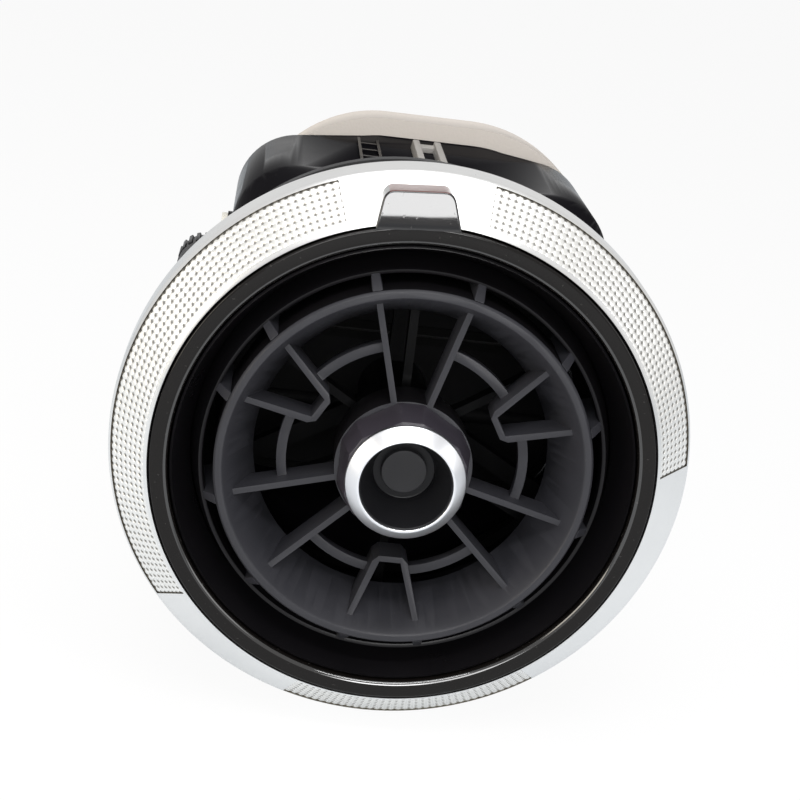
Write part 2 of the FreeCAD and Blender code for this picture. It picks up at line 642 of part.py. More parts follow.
def slide_guide(body, name, start):
    """Loop that holds the cam slide against the sleeve, with running clearance all round."""
    low, high = ROD_BOTTOM + " - running_gap", ROD_TOP + " + running_gap"
    foot, outer = "(rod_inner - 2.4)", "(" + ROD_OUTER + " + running_gap)"
    front_block(body, name, [
        (foot, low + " - guide_thickness"),
        (outer + " + guide_thickness - 1", low + " - guide_thickness"),
        (outer + " + guide_thickness", low + " - guide_thickness + 1"),
        (outer + " + guide_thickness", high + " + guide_thickness"),
        (foot, high + " + guide_thickness"),
    ], start, "guide_width")
    front_block(body, name + "Way", [
        ("rod_inner - running_gap", low),
        (outer, low),
        (outer, high),
        ("rod_inner - running_gap", high),
    ], start + " - 0.5", "guide_width + 1", cut=True)


def make_outer_sleeve():
    """Fixed sleeve round the turning skirt, with the dash flange and the follower's window."""
    body = new_body("outer_sleeve")
    revolve(body, "Tube", [
        ("flange_radius", "flange_front"),
        ("flange_radius", FLANGE_REAR),
        (SLEEVE_OUTER, FLANGE_REAR),
        (SLEEVE_OUTER, "joint_plane"),
        (SLEEVE_INNER, "joint_plane"),
        (SLEEVE_INNER, "bead_start + bead_width + running_gap"),
        (SLEEVE_INNER + " + bead_height", "bead_start + bead_width + running_gap"),
        (SLEEVE_INNER + " + bead_height", "bead_start - running_gap"),
        (SLEEVE_INNER, "bead_start - running_gap"),
        (SLEEVE_INNER, "flange_front"),
    ])
    add_lugs(body, "joint_plane - 4", "4", "screw_diameter / 2 + 0.02")
    slide_guide(body, "FrontGuide", "rod_front + 0.4")
    pad = "(damper_radius + 0.4)"
    front_block(body, "DamperSeat", [
        (SLEEVE_OUTER + " - 0.6", "-" + pad),
        ("flange_radius", "-" + pad),
        ("flange_radius", pad),
        (SLEEVE_OUTER + " - 0.6", pad),
    ], FLANGE_REAR + " - 0.5", "damper_seat + 0.5", turn="damper_angle")
    low, high = "follower_depth - " + SLIDE_TRAVEL + " - follower_radius - follower_gap", \
        "follower_depth + follower_radius + follower_gap"
    plate(body, "FollowerWindow", [
        (SLEEVE_INNER + " - 1", low),
        (SLEEVE_OUTER + " + 0.3", low),
        (SLEEVE_OUTER + " + 0.3", high),
        (SLEEVE_INNER + " - 1", high),
    ], "2 * (follower_radius + follower_gap)", cut=True, depth=ROD_MIDDLE)
    x, y = DAMPER_DISTANCE + " * cos(damper_angle * 1deg)", DAMPER_DISTANCE + " * sin(damper_angle * 1deg)"
    round_hole(body, "DamperWindow", FRONT, x, y, "damper_module * (damper_teeth / 2 + 1) + running_gap",
               DAMPER_REAR, "damper_gear_width + 1.2")


def make_inner_barrel():
    """Fixed barrel inside the skirt: rear half of the ball socket, air tube and joint flange."""
    body = new_body("inner_barrel")
    lip = "(" + BARREL_OUTER + " - 1.2)"
    revolve(body, "Tube", [
        (SOCKET_RADIUS, "ball_centre"),
        ("free " + SOCKET_RADIUS + " - 1", "ball_centre + socket_reach", "0", "ball_centre"),
        (BARREL_INNER, "ball_centre + socket_reach + 1.8"),
        (BARREL_INNER, DUCT_PLANE),
        (SLEEVE_OUTER, DUCT_PLANE),
        (SLEEVE_OUTER, "joint_plane"),
        (BARREL_OUTER, "joint_plane"),
        (BARREL_OUTER, "ball_centre + lap_depth"),
        (lip, "ball_centre + lap_depth"),
        (lip, "ball_centre"),
    ])
    add_lugs(body, "joint_plane", "joint_flange", "screw_diameter / 2 + 0.15")


def make_socket_ring():
    """Front half of the ball socket with the dark funnel that leads to the nozzle."""
    body = new_body("socket_ring")
    mouth = "sqrt(" + SOCKET_RADIUS + "^2 - (ball_centre - mouth_depth)^2)"
    lip = "(" + BARREL_OUTER + " - 1.15)"
    revolve(body, "Funnel", [
        ("bezel_inner_radius - running_gap", "0.9 - ring_height"),
        ("bezel_inner_radius - running_gap - 0.4", "0.6 - ring_height"),
        (mouth, "mouth_depth"),
        ("free " + SOCKET_RADIUS, "ball_centre", "0", "ball_centre"),
        (lip, "ball_centre"),
        (lip, "ball_centre + lap_depth"),
        (BARREL_OUTER, "ball_centre + lap_depth"),
        (BARREL_OUTER, "drive_plane"),
        ("bezel_inner_radius - running_gap", "drive_plane - 0.5"),
    ])


def make_nozzle_shell():
    """Ball-shaped outer shell of the nozzle with twelve fins round the vane wheel."""
    body = new_body("nozzle_shell")
    inner = "(ball_radius - ball_wall)"
    front, rear = "ball_centre - ball_half_depth", "ball_centre + ball_half_depth"
    edge = "sqrt(ball_radius^2 - ball_half_depth^2)"
    revolve(body, "Ball", [
        (edge, front),
        ("free " + edge, rear, "0", "ball_centre"),
        ("sqrt(" + inner + "^2 - ball_half_depth^2)", rear),
        ("free sqrt(" + inner + "^2 - (ball_half_depth - ball_edge_depth)^2)", front + " + ball_edge_depth",
         "0", "ball_centre"),
        (edge + " - ball_edge", front),
    ])
    middle = "(ball_radius - ball_wall / 2)"
    bottom = front + " + 0.3"
    fins = []
    for name, turn in (("FinA", "90 - spoke_half_angle"), ("FinB", "90 + spoke_half_angle"),
                       ("FinC", "30 - loop_root_half_angle"), ("FinD", "30 + loop_root_half_angle")):
        fins.append(plate(body, name, [
            ("wheel_radius + running_gap", bottom),
            (edge + " - ball_edge / 3", bottom),
            ("sqrt(" + middle + "^2 - (ball_half_depth / 2)^2)", "ball_centre - ball_half_depth / 2"),
            (middle, "ball_centre"),
            ("wheel_radius + running_gap", "ball_centre"),
        ], "fin_thickness", turn=turn))
    repeat(body, "Fins", fins, 3)


def make_nozzle_guide():
    """Centre tube of the nozzle on six arms that end at the ball's inner face."""
    body = new_body("nozzle_guide")
    inner, middle = "(ball_radius - ball_wall - 0.05)", "(ball_radius - ball_wall / 2)"
    tube_inner = "guide_radius - guide_wall"
    revolve(body, "CentreTube", [
        (tube_inner, "wheel_rear - 2.4"),
        ("guide_radius", "wheel_rear - 2.4"),
        ("guide_radius", "guide_rear"),
        (tube_inner, "guide_rear"),
    ])
    arm_front = "wheel_rear + wheel_travel + 1.6"
    arm = plate(body, "Arm", [
        ("guide_radius - guide_wall / 2", arm_front),
        ("guide_radius + 2.3", arm_front),
        ("sqrt(" + middle + "^2 - (guide_rear + 0.8 - ball_centre)^2)", "guide_rear + 0.8"),
        ("sqrt(" + middle + "^2 - (guide_rear + 4.2 - ball_centre)^2)", "guide_rear + 4.2"),
        ("guide_radius + 2.3", "guide_rear"),
        ("guide_radius - guide_wall / 2", "guide_rear"),
    ], "fin_thickness + 0.4", turn="90")
    repeat(body, "Arms", [arm], 6)
    revolve(body, "ArmEnds", [
        ("sqrt(" + inner + "^2 - (ball_half_depth + 1)^2)", "ball_centre + ball_half_depth + 1"),
        ("free " + inner, "ball_centre", "0", "ball_centre"),
        ("ball_radius + 2", "ball_centre"),
        ("ball_radius + 2", "ball_centre + ball_half_depth + 1"),
    ], cut=True)
    round_hole(body, "PinHoles", ACROSS, "ball_centre", "0", "pin_radius + pin_gap", "0",
               "3 * guide_radius", midplane=True)


def make_pivot_fork():
    """Fixed spider across the barrel whose column ends in the fork that carries the nozzle."""
    body = new_body("pivot_fork")
    outer = "(fork_inner + fork_thickness + 0.4)"
    inner = "(fork_inner - 1.4)"
    rear = "(spider_front + spider_thickness)"
    revolve(body, "Column", [
        (inner, "guide_rear + 4"),
        (outer, "guide_rear + 4"),
        (outer, rear),
        (inner, rear),
    ])
    arm = front_block(body, "Arm", [
        (inner + " + 0.5", "-spider_arm / 2"),
        (BARREL_INNER + " - 1", "-spider_arm / 2"),
        (BARREL_INNER + " - 1", "spider_arm / 2"),
        (inner + " + 0.5", "spider_arm / 2"),
    ], "spider_front", "spider_thickness", turn="90")
    repeat(body, "Arms", [arm], 3)
    revolve(body, "Rim", [
        (BARREL_INNER + " - 1.8", "spider_front"),
        (BARREL_INNER + " - 0.05", "spider_front"),
        (BARREL_INNER + " - 0.05", rear),
        (BARREL_INNER + " - 1.8", rear),
    ])
    for name, near, far in (("UpperProng", "fork_inner", "fork_inner + fork_thickness"),
                            ("LowerProng", "-fork_inner - fork_thickness", "-fork_inner")):
        front_block(body, name, [
            ("-fork_width / 2", near),
            ("fork_width / 2", near),
            ("fork_width / 2", far),
            ("-fork_width / 2", far),
        ], "ball_centre - 2.8", "guide_rear + 4.5 - ball_centre + 2.8")
    round_hole(body, "PinHoles", SIDE, "0", "ball_centre", "pin_radius + pin_gap", "0",
               "4 * fork_inner", midplane=True)


def make_cardan_cross():
    """Cross with two pin pairs: upright in the fork, level in the nozzle's centre tube."""
    block = DOCUMENT.addObject("Part::Box", "CrossBlock")
    for side, axis in (("Length", "x"), ("Width", "y"), ("Height", "z")):
        block.setExpression(side, bound("2 * (fork_inner - 1.4)"))
        centre = " + ball_centre" if axis == "y" else ""
        block.setExpression("Placement.Base." + axis, bound("-(fork_inner - 1.4)" + centre))
    pins = [block]
    for name, axis, half in (("UprightPins", "z", "fork_inner + fork_thickness"),
                             ("LevelPins", "x", "guide_radius - 0.1")):
        pin = DOCUMENT.addObject("Part::Cylinder", name)
        pin.setExpression("Radius", bound("pin_radius"))
        pin.setExpression("Height", bound("2 * (" + half + ")"))
        if axis == "x":
            pin.Placement = Placement(Vector(), Rotation(Vector(0, 1, 0), 90))
        pin.setExpression("Placement.Base." + axis, bound("-(" + half + ")"))
        pin.setExpression("Placement.Base.y", bound("ball_centre"))
        pins.append(pin)
    cross = DOCUMENT.addObject("Part::MultiFuse", "cardan_cross")
    cross.Label = "cardan_cross"
    cross.Shapes = pins
    PARTS.append(cross)


def make_vane_wheel():
    """Vane wheel: a hollow ring with a funnel, six straight spokes, three looped pairs and short arcs."""
    body = new_body("vane_wheel")
    front, rear = "-wheel_front", "wheel_rear"
    lip = "(wheel_radius - wheel_lip)"
    revolve(body, "Rim", [
        ("wheel_radius", "0.5 - wheel_front"),
        ("wheel_radius - 0.4", front),
        (lip + " + 0.3", front),
        (lip, "0.3 - wheel_front"),
        ("wheel_throat", rear),
        ("wheel_throat + wheel_wall", rear),
        ("wheel_radius - wheel_wall", "2.6 - wheel_front"),
        ("wheel_radius - wheel_wall", rear),
        ("wheel_radius", rear),
    ])
    revolve(body, "Hub", [
        ("hub_radius - hub_wall", "-spoke_front"),
        ("hub_radius", "-spoke_front"),
        ("hub_radius", rear),
        ("hub_radius - hub_wall", rear),
    ])
    spokes = []
    for name, turn in (("SpokeA", "90 - spoke_half_angle"), ("SpokeB", "90 + spoke_half_angle")):
        spokes.append(plate(body, name, [
            ("hub_radius - hub_wall / 2", "-spoke_front"),
            ("wheel_radius - wheel_wall - 0.8", "-spoke_front"),
            ("wheel_throat + wheel_wall", "spoke_rear"),
            ("hub_radius - hub_wall / 2", "spoke_rear"),
        ], "spoke_thickness", turn=turn))
    root = "(wheel_radius - wheel_wall - 1.2)"
    across, along = root + " * sin(loop_root_half_angle * 1deg)", root + " * cos(loop_root_half_angle * 1deg)"
    half = "(spoke_thickness / 2)"
    loop = front_block(body, "Loop", [
        (along, "-" + across + " - " + half),
        (along, "-" + across + " + " + half),
        ("loop_radius + spoke_thickness", "-loop_half_width + 0.9 * spoke_thickness"),
        ("loop_radius + spoke_thickness", "loop_half_width - 0.9 * spoke_thickness"),
        (along, across + " - " + half),
        (along, across + " + " + half),
        ("loop_radius + spoke_thickness", "loop_half_width + 0.3"),
        ("loop_radius", "loop_half_width - 0.8"),
        ("loop_radius", "0.8 - loop_half_width"),
        ("loop_radius + spoke_thickness", "-loop_half_width - 0.3"),
    ], "-spoke_front", "spoke_front + spoke_rear", turn="30")
    inner, outer = "arc_radius - arc_width / 2", "arc_radius + arc_width / 2"
    arcs = []
    gap = "60 - spoke_half_angle - loop_root_half_angle + 2"
    for name, start in (("ArcA", "30 + loop_root_half_angle - 2"), ("ArcB", "330 + spoke_half_angle")):
        arcs.append(revolve(body, name, [
            (inner, "-arc_front"),
            (outer, "-arc_front"),
            (outer, "spoke_rear - 1"),
            (inner, "spoke_rear - 1"),
        ], start=start, span=gap))
    repeat(body, "Vanes", spokes + [loop] + arcs, 3)


def make_hub_collar():
    """Faceted collar in front of the hub: six broad and six narrow faces, bored for the knob cup."""
    body = new_body("hub_collar")
    sketches = []
    for name, radius, depth in (("Back", "hub_radius", "-spoke_front"),
                                ("Front", "collar_front_radius", "-collar_front")):
        sketch = new_sketch(body, name + "Outline", FRONT, depth=depth)
        corners = []
        for facet in range(6):
            for angle in (60 * facet - 20, 60 * facet + 20):
                corners.append((radius + " * cos(%d * 1deg)" % angle, radius + " * sin(%d * 1deg)" % angle))
        outline(sketch, corners)
        sketches.append(sketch)
    cone = feature_of(body, "AdditiveLoft", "Cone", sketches[0])
    cone.Sections = [(sketches[1], [""])]
    cone.Ruled = True
    round_hole(body, "Bore", FRONT, "0", "0", "collar_bore", "-(collar_front + 1)",
               "collar_front - spoke_front + 2")


def make_knob():
    """Centre knob: bevelled bright ring, tapered cup and the disc in the cup's floor."""
    ring = new_body("knob_trim_ring")
    revolve(ring, "Ring", [
        ("trim_inner_radius", "-trim_rear"),
        ("trim_inner_radius", "0.2 - trim_front"),
        ("trim_inner_radius + 0.2", "-trim_front"),
        ("trim_outer_radius", "-trim_step"),
        ("trim_outer_radius", "-trim_rear"),
    ])
    cup = new_body("knob_cup")
    revolve(cup, "Cup", [
        ("trim_inner_radius - 0.25", "0.6 - trim_front"),
        ("trim_inner_radius - 0.05", "0.6 - trim_front"),
        ("trim_inner_radius - 0.05", "0.05 - trim_rear"),
        ("collar_bore - 0.05", "0.05 - trim_rear"),
        ("collar_bore - 0.05", "-spoke_front"),
        ("0", "-spoke_front"),
        ("0", "disc_thickness - cup_floor"),
        ("cup_throat", "disc_thickness - cup_floor"),
        ("cup_throat", "-cup_floor"),
    ])
    disc = new_body("knob_disc")
    round_hole(disc, "Disc", FRONT, "0", "0", "disc_radius", "-cup_floor", "disc_thickness", cut=False)


def duct_sections(inset, names):
    """Outlines along the duct: round at the barrel, then the flap chamber, then the foam seat."""
    chamber = ("chamber_left", "chamber_right", "chamber_bottom", "chamber_top", "chamber_corner")
    seat = ("seat_left", "seat_right", "seat_bottom", "seat_top", "seat_corner")
    round_end = "(" + BARREL_INNER + " + duct_wall)"
    tube = ("-" + round_end, round_end, "-" + round_end, round_end, round_end + " - 0.5")
    for name, depth, sides in (("Tube", DUCT_PLANE, tube), ("ChamberFront", "chamber_front", chamber),
                               ("ChamberRear", "chamber_rear", chamber), ("SeatFront", "seat_front", seat),
                               ("SeatRear", "duct_rear", seat)):
        left, right, bottom, top, corner = sides
        yield (names + name, depth, left + " + " + inset, right + " - " + inset,
               bottom + " + " + inset, top + " - " + inset, corner + " - " + inset)


def add_loft(body, name, kind, sections):
    """Ruled loft through rounded outlines."""
    sketches = []
    for label, depth, left, right, bottom, top, corner in sections:
        sketch = new_sketch(body, label, FRONT, depth=depth)
        rounded_outline(sketch, "(" + left + ")", "(" + right + ")", "(" + bottom + ")", "(" + top + ")",
                        "(" + corner + ")")
        sketches.append(sketch)
    loft = feature_of(body, kind, name, sketches[0])
    loft.Sections = [(sketch, [""]) for sketch in sketches[1:]]
    loft.Ruled = True
    return loft


def make_rear_duct():
    """Duct with the flap chamber: joint flange, shaft bosses, slide guide and foam seat."""
    body = new_body("rear_duct")
    add_loft(body, "Duct", "AdditiveLoft", duct_sections("0", "Outer"))
    flange = new_sketch(body, "FlangeOutline", FRONT, depth=DUCT_PLANE)
    circle(flange, "0", "0", SLEEVE_OUTER)
    extrude(body, "Flange", flange, "joint_flange")
    add_lugs(body, DUCT_PLANE, "joint_flange", "screw_diameter / 2 + 0.15")
    slide_guide(body, "RearGuide", DUCT_PLANE)
    for name, height in (("Upper", UPPER_SHAFT), ("Lower", LOWER_SHAFT)):
        round_hole(body, name + "Boss", ACROSS, "flap_depth", height, "bush_radius + 1.6",
                   "chamber_left - boss_reach", "chamber_right - chamber_left + 2 * boss_reach", cut=False)
    add_ladder(body)
    add_loft(body, "Airway", "SubtractiveLoft", duct_sections("duct_wall", "Inner"))
    for name, height in (("Upper", UPPER_SHAFT), ("Lower", LOWER_SHAFT)):
        sketch = new_sketch(body, name + "BoreOutline", ACROSS, depth="(chamber_left + chamber_right) / 2")
        circle(sketch, "flap_depth", height, "bush_radius + 0.02")
        extrude(body, name + "Bore", sketch, "chamber_right - chamber_left + 2 * boss_reach + 2",
                cut=True, midplane=True)


def add_ladder(body):
    """Small moulded ladder on top of the chamber: two thin rails and four rungs."""
    top = "chamber_top"
    right = "(ladder_left + ladder_width)"
    for name, left in (("LadderLeft", "ladder_left"), ("LadderRight", right)):
        front_block(body, name, [
            (left, top + " - 1"),
            (left + " + 0.6", top + " - 1"),
            (left + " + 0.6", top + " + 1"),
            (left, top + " + 1"),
        ], "chamber_front + 4", "chamber_rear - chamber_front - 4")
    for rung in range(4):
        front_block(body, "Rung%d" % rung, [
            ("ladder_left + 0.3", top + " - 1"),
            (right + " + 0.3", top + " - 1"),
            (right + " + 0.3", top + " + 0.8"),
            ("ladder_left + 0.3", top + " + 0.8"),
        ], "chamber_front + 6 + %d * 6.5" % rung, "1")


def make_duct_foam():
    """Foam collar that seals the duct's end against the air channel."""
    body = new_body("duct_foam")
    sketch = new_sketch(body, "CollarOutline", FRONT, depth="seat_front")
    for inset in ("foam_thickness", "foam_gap"):
        rounded_outline(sketch, "(seat_left - " + inset + ")", "(seat_right + " + inset + ")",
                        "(seat_bottom - " + inset + ")", "(seat_top + " + inset + ")",
                        "(seat_corner + " + inset + ")")
    extrude(body, "Collar", sketch, "duct_rear - seat_front")


def make_top_rails():
    """Pair of light rails with rungs on top of the flap chamber."""
    body = new_body("top_rails")
    low, high = "chamber_top", "chamber_top + rail_height"
    start, length = "chamber_front + 2", "chamber_rear - chamber_front - 2.5"
    for name, middle in (("LeftRail", "0.6"), ("RightRail", "0.6 + rail_pitch")):
        front_block(body, name, [
            (middle + " - rail_width / 2", low),
            (middle + " + rail_width / 2", low),
            (middle + " + rail_width / 2 - 0.3", high),
            (middle + " - rail_width / 2 + 0.3", high),
        ], start, length)
    for rung, depth in enumerate(("chamber_front + 11", "chamber_rear - 4")):
        front_block(body, "Rung%d" % rung, [
            ("0.6", low),
            ("0.6 + rail_pitch", low),
            ("0.6 + rail_pitch", high + " - 0.7"),
            ("0.6", high + " - 0.7"),
        ], depth, "3")


def shut(height):
    """Turn about a flap's shaft from its open place, in which it is drawn, to its shut one."""
    way = FLAP_TURN if height == LOWER_SHAFT else -FLAP_TURN
    shaft = Vector(0, number("flap_depth"), number(height))
    return Placement(Vector(), Rotation(Vector(1, 0, 0), way), shaft)


def make_flap(label, height):
    """Shut-off flap, drawn open and turned shut: plate with journals, and the soft seal round its edge."""
    left, right = "(chamber_left + duct_wall + flap_gap)", "(chamber_right - duct_wall - flap_gap)"
    front = "(flap_depth - " + FLAP_REACH + " + flap_gap)"
    rear = "(flap_depth + " + FLAP_REACH + " - flap_gap / 2)"
    corner = "(chamber_corner - duct_wall - flap_gap)"

    def edge(sketch, inset):
        near, far = "(%s + %s)" % (left, inset), "(%s - %s)" % (right, inset)
        low, high = "(%s + %s)" % (front, inset), "(%s - %s)" % (rear, inset)
        bend = "(%s - %s)" % (corner, inset)
        outline(sketch, [
            (far + " - " + bend, low),
            ("free " + far, low + " + " + bend, far + " - " + bend, low + " + " + bend),
            (far, high),
            (near, high),
            (near, low + " + " + bend),
            (near + " + " + bend, "free " + low, near + " + " + bend, low + " + " + bend),
        ])

    body = new_body(label)
    sketch = new_sketch(body, "PlateOutline", SIDE, depth=height)
    edge(sketch, "flap_seal_width")
    extrude(body, "Plate", sketch, "flap_thickness", midplane=True)
    ends = ("chamber_left - boss_reach - bush_collar", GEAR_PLANE + " + link_gear_width")
    if label == "lower_flap":
        ends = (ends[0], ROD_OUTER)
    round_hole(body, "Journals", ACROSS, "flap_depth", height, "journal_radius", ends[0],
               "%s - (%s)" % (ends[1], ends[0]), cut=False)

    seal = new_body(label + "_seal")
    sketch = new_sketch(seal, "SealOutline", SIDE, depth=height)
    edge(sketch, "0")
    edge(sketch, "flap_seal_width")
    extrude(seal, "Seal", sketch, "flap_seal_thickness", midplane=True)
    round_hole(seal, "ShaftGap", ACROSS, "flap_depth", height, "journal_radius + 0.05",
               "(chamber_left + chamber_right) / 2", "2 * chamber_right", midplane=True)
    for piece in (body, seal):
        piece.Placement = shut(height)


def feature_part(label, shape):
    """A piece whose shape is computed here from the sheet's sizes."""
    piece = DOCUMENT.addObject("Part::Feature", label)
    piece.Label = label
    piece.Shape = shape
    PARTS.append(piece)
    return piece


def make_flap_gears():
    """Meshing gear sectors of the two flaps; the lower one also carries the rack's pinion."""
    teeth = int(number("link_gear_teeth"))
    module = 2 * number(FLAP_REACH) / teeth
    pitch = 360 / teeth
    start, length = number(GEAR_PLANE), number("link_gear_width")
    depth, upper, lower = number("flap_depth"), number(UPPER_SHAFT), number(LOWER_SHAFT)
    hub = number("journal_radius + 2.2")
    reach = int((FLAP_TURN + 20) / pitch)
    fit = number("journal_radius + 0.02")
    upper_gear = gear_solid(module, teeth, [pitch * i - 90 - pitch for i in range(reach + 1)], hub,
                            start, length, (depth, upper), "x")
    lower_gear = gear_solid(module, teeth, [90 + pitch * 1.5 - pitch * i for i in range(reach + 1)], hub,
                            start, length, (depth, lower), "x")
    pinion_teeth = int(number("pinion_teeth"))
    middles = [90 + 360 / pinion_teeth * i for i in range(pinion_teeth)]
    pinion_start = number("rod_inner - 0.2")
    pinion = gear_solid(number("rack_module"), pinion_teeth, middles, hub, pinion_start,
                        number("rod_width + 0.2"), (depth, lower), "x")
    neck = Part.makeCylinder(hub, pinion_start - start, Vector(start, depth, lower), Vector(1, 0, 0))
    lower_gear = lower_gear.fuse([neck, pinion]).removeSplitter()
    through = pinion_start - start + number("rod_width + 0.2")
    for label, gear, height in (("upper_flap_gear", upper_gear, UPPER_SHAFT),
                                ("lower_flap_gear", lower_gear, LOWER_SHAFT)):
        bore = Part.makeCylinder(fit, through, Vector(start, depth, number(height)), Vector(1, 0, 0))
        geared = gear.cut(bore)
        geared.Placement = shut(height)
        feature_part(label, geared)


def make_cam_slide():
    """Cam slide, drawn with the flaps open and moved to shut: a bar with a rack, and its follower pin."""
    module = number("rack_module")
    pitch, line = math.pi * module, number(RACK_LINE)
    low, high, top = line - module, line + 1.2 * module, number(ROD_TOP)
    thick = math.pi * module / 4 - BACKLASH / 2
    tip, root = thick - module * math.tan(math.radians(20)), thick + 1.2 * module * math.tan(math.radians(20))
    depth, travel = number("flap_depth"), number(SLIDE_TRAVEL)
    first = math.floor(-5 / pitch)
    last = math.ceil((travel + 2) / pitch)
    front, rear = number("rod_front"), depth + pitch * (last + 0.5) + root
    points = [(front, top), (front, low + 1), (front + 1, low)]
    foot = depth + pitch * (first + 0.5) - root - 1
    points += [(foot, low), (foot, high)]
    for index in range(first, last + 1):
        middle = depth + pitch * (index + 0.5)
        points += [(middle - root, high), (middle - tip, low), (middle + tip, low), (middle + root, high)]
    points += [(rear + 0.6, high), (rear + 0.6, top)]
    bar = prism(points, number("rod_inner"), number("rod_width"), "x")
    middle, pin_depth, radius = number(ROD_MIDDLE), number("follower_depth"), number("follower_radius")
    bore = Part.makeCylinder(radius + 0.01, number("rod_width") - 1,
                             Vector(number("rod_inner"), pin_depth, middle), Vector(1, 0, 0))
    bar = bar.cut(bore)
    tip_place = number("follower_tip")
    pin = Part.makeCylinder(radius, number(ROD_OUTER) - 1 - tip_place, Vector(tip_place, pin_depth, middle),
                            Vector(1, 0, 0))
    for label, shape in (("cam_slide", bar), ("follower_pin", pin)):
        shape.translate(Vector(0, -travel, 0))
        feature_part(label, shape)


def make_damper():
    """Rotary damper: its body on the dash flange and the toothed wheel that the ring gear turns."""
    x, z = damper_place()
    front, rear = number(FLANGE_REAR + " + damper_seat"), number(DAMPER_REAR)
    body = Part.makeCylinder(number("damper_radius"), rear - front, Vector(x, front, z), Vector(0, 1, 0))
    body = body.cut(Part.makeCylinder(number(SLEEVE_OUTER + " + 0.05"), rear, Vector(), Vector(0, 1, 0)))
    shaft = number("pin_radius")
    well = Part.makeCylinder(shaft + number("pin_gap"), rear, Vector(x, front + 1, z), Vector(0, 1, 0))
    body = body.cut(well)
    feature_part("damper_body", body)
    teeth = int(number("damper_teeth"))
    pitch = 360 / teeth
    facing = number("damper_angle") + 180
    wheel = gear_solid(number("damper_module"), teeth, [facing + pitch * (i + 0.5) for i in range(teeth)],
                       number("damper_radius * 0.5"), rear + 0.6, number("damper_gear_width"), (x, z), "y")
    pin = Part.makeCylinder(shaft, rear + 0.6 - front - 1.5, Vector(x, front + 1.5, z), Vector(0, 1, 0))
    feature_part("damper_gear", wheel.fuse(pin).removeSplitter())


def make_panel_clips():
    """Three folded sheet clips that hold the dash panel against the flange."""
    clip_angles = (40, 240, 320)
    inner, sheet_thick = number(SLEEVE_OUTER + " + 0.05"), number("clip_thickness")
    catch, lip = number("clip_reach"), number(FLANGE_REAR + " + panel_thickness")
    rear = number("joint_plane - 5.2")
    front = lip + 5
    points = [(inner, front), (inner, rear), (inner + 1.2, rear), (catch, lip + 1.5), (catch - 1.4, lip),
              (catch - 2, lip + 0.6), (catch - 0.9, lip + 1.8), (inner + sheet_thick, rear - 2.4),
              (inner + sheet_thick, front)]
    width = number("clip_width")
    clips = []
    for angle in clip_angles:
        corners = [Vector(r, y, -width / 2) for r, y in points]
        clip = Part.Face(Part.makePolygon(corners + corners[:1])).extrude(Vector(0, 0, width))
        clip.rotate(Vector(), Vector(0, -1, 0), angle)
        clips.append(clip)
    feature_part("panel_clips", Part.makeCompound(clips))


def make_screws():
    """Three screws that clamp duct and barrel to the sleeve."""
    radius, head = number("screw_diameter / 2"), number("screw_head / 2")
    length, depth = number("screw_length"), number("screw_head_depth")
    face = number(DUCT_PLANE + " + joint_flange")
    screws = []
    for angle in TRIANGLE_OF_LUGS:
        place = Vector(number("lug_radius") * math.cos(math.radians(angle)), face,
                       number("lug_radius") * math.sin(math.radians(angle)))
        top = Part.makeCylinder(head, depth, place, Vector(0, 1, 0))
        socket = Part.makeCylinder(head * 0.45, depth, place + Vector(0, depth * 0.45, 0), Vector(0, 1, 0))
        shank = Part.makeCylinder(radius, length, place, Vector(0, -1, 0))
        screws.append(top.cut(socket).fuse(shank))
    feature_part("housing_screws", Part.makeCompound(screws))


def make_bushes():
    """Four collared bushes in the chamber's side walls for the flap journals."""
    outer, bore = number("bush_radius"), number("journal_radius + pin_gap")
    wall, collar = number("duct_wall + boss_reach"), number("bush_collar")
    bushes = []
    for height in (number(UPPER_SHAFT), number(LOWER_SHAFT)):
        for side, way in (("chamber_right + boss_reach", -1), ("chamber_left - boss_reach", 1)):
            place = number(side)
            seat = Vector(place, number("flap_depth"), height)
            axis = Vector(way, 0, 0)
            bush = Part.makeCylinder(outer, wall - 0.2, seat, axis)
            bush = bush.fuse(Part.makeCylinder(outer + 1.2, collar, seat, axis * -1))
            bushes.append(bush.cut(Part.makeCylinder(bore, wall + collar, seat - axis * collar, axis)))
    feature_part("flap_bushes", Part.makeCompound(bushes))


def check_document():
    """Stop if an object failed, a cut removed nothing or a piece has no sound shape."""
    for item in DOCUMENT.Objects:
        if "Invalid" in item.State or "Error" in item.State:
            raise RuntimeError("%s failed: %s" % (item.Label, item.State))
        if item.TypeId in ("PartDesign::Pocket", "PartDesign::Groove"):
            if item.Shape.Volume > item.BaseFeature.Shape.Volume - 1e-3:
                raise RuntimeError(item.Label + " cuts nothing")
    for piece in PARTS:
        if piece.Shape.isNull() or not piece.Shape.isValid():
            raise RuntimeError(piece.Label + " has no sound shape")


def main():
    make_knurled_ring()
    make_bezel_ring()
    make_drive_ring()
    make_outer_sleeve()
    make_inner_barrel()
    make_socket_ring()
    make_nozzle_shell()
    make_nozzle_guide()
    make_pivot_fork()
    make_cardan_cross()
    make_vane_wheel()
    make_hub_collar()
    make_knob()
    make_rear_duct()
    make_duct_foam()
    make_top_rails()
    make_flap("upper_flap", UPPER_SHAFT)
    make_flap("lower_flap", LOWER_SHAFT)
    make_flap_gears()
    make_cam_slide()
    make_damper()
    make_panel_clips()
    make_screws()
    make_bushes()
    DOCUMENT.recompute()
    check_document()
    os.makedirs("parts", exist_ok=True)
    for piece in PARTS:
        piece.Shape.exportStep("parts/%s.step" % piece.Label)


main()
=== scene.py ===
"""Dashboard air vent: finishes, detailed visible pieces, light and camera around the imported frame."""

import logging
import math
from dataclasses import dataclass
from enum import Enum
from typing import Iterable, Optional, Sequence

import bmesh
import bpy
from mathutils import Matrix, Vector

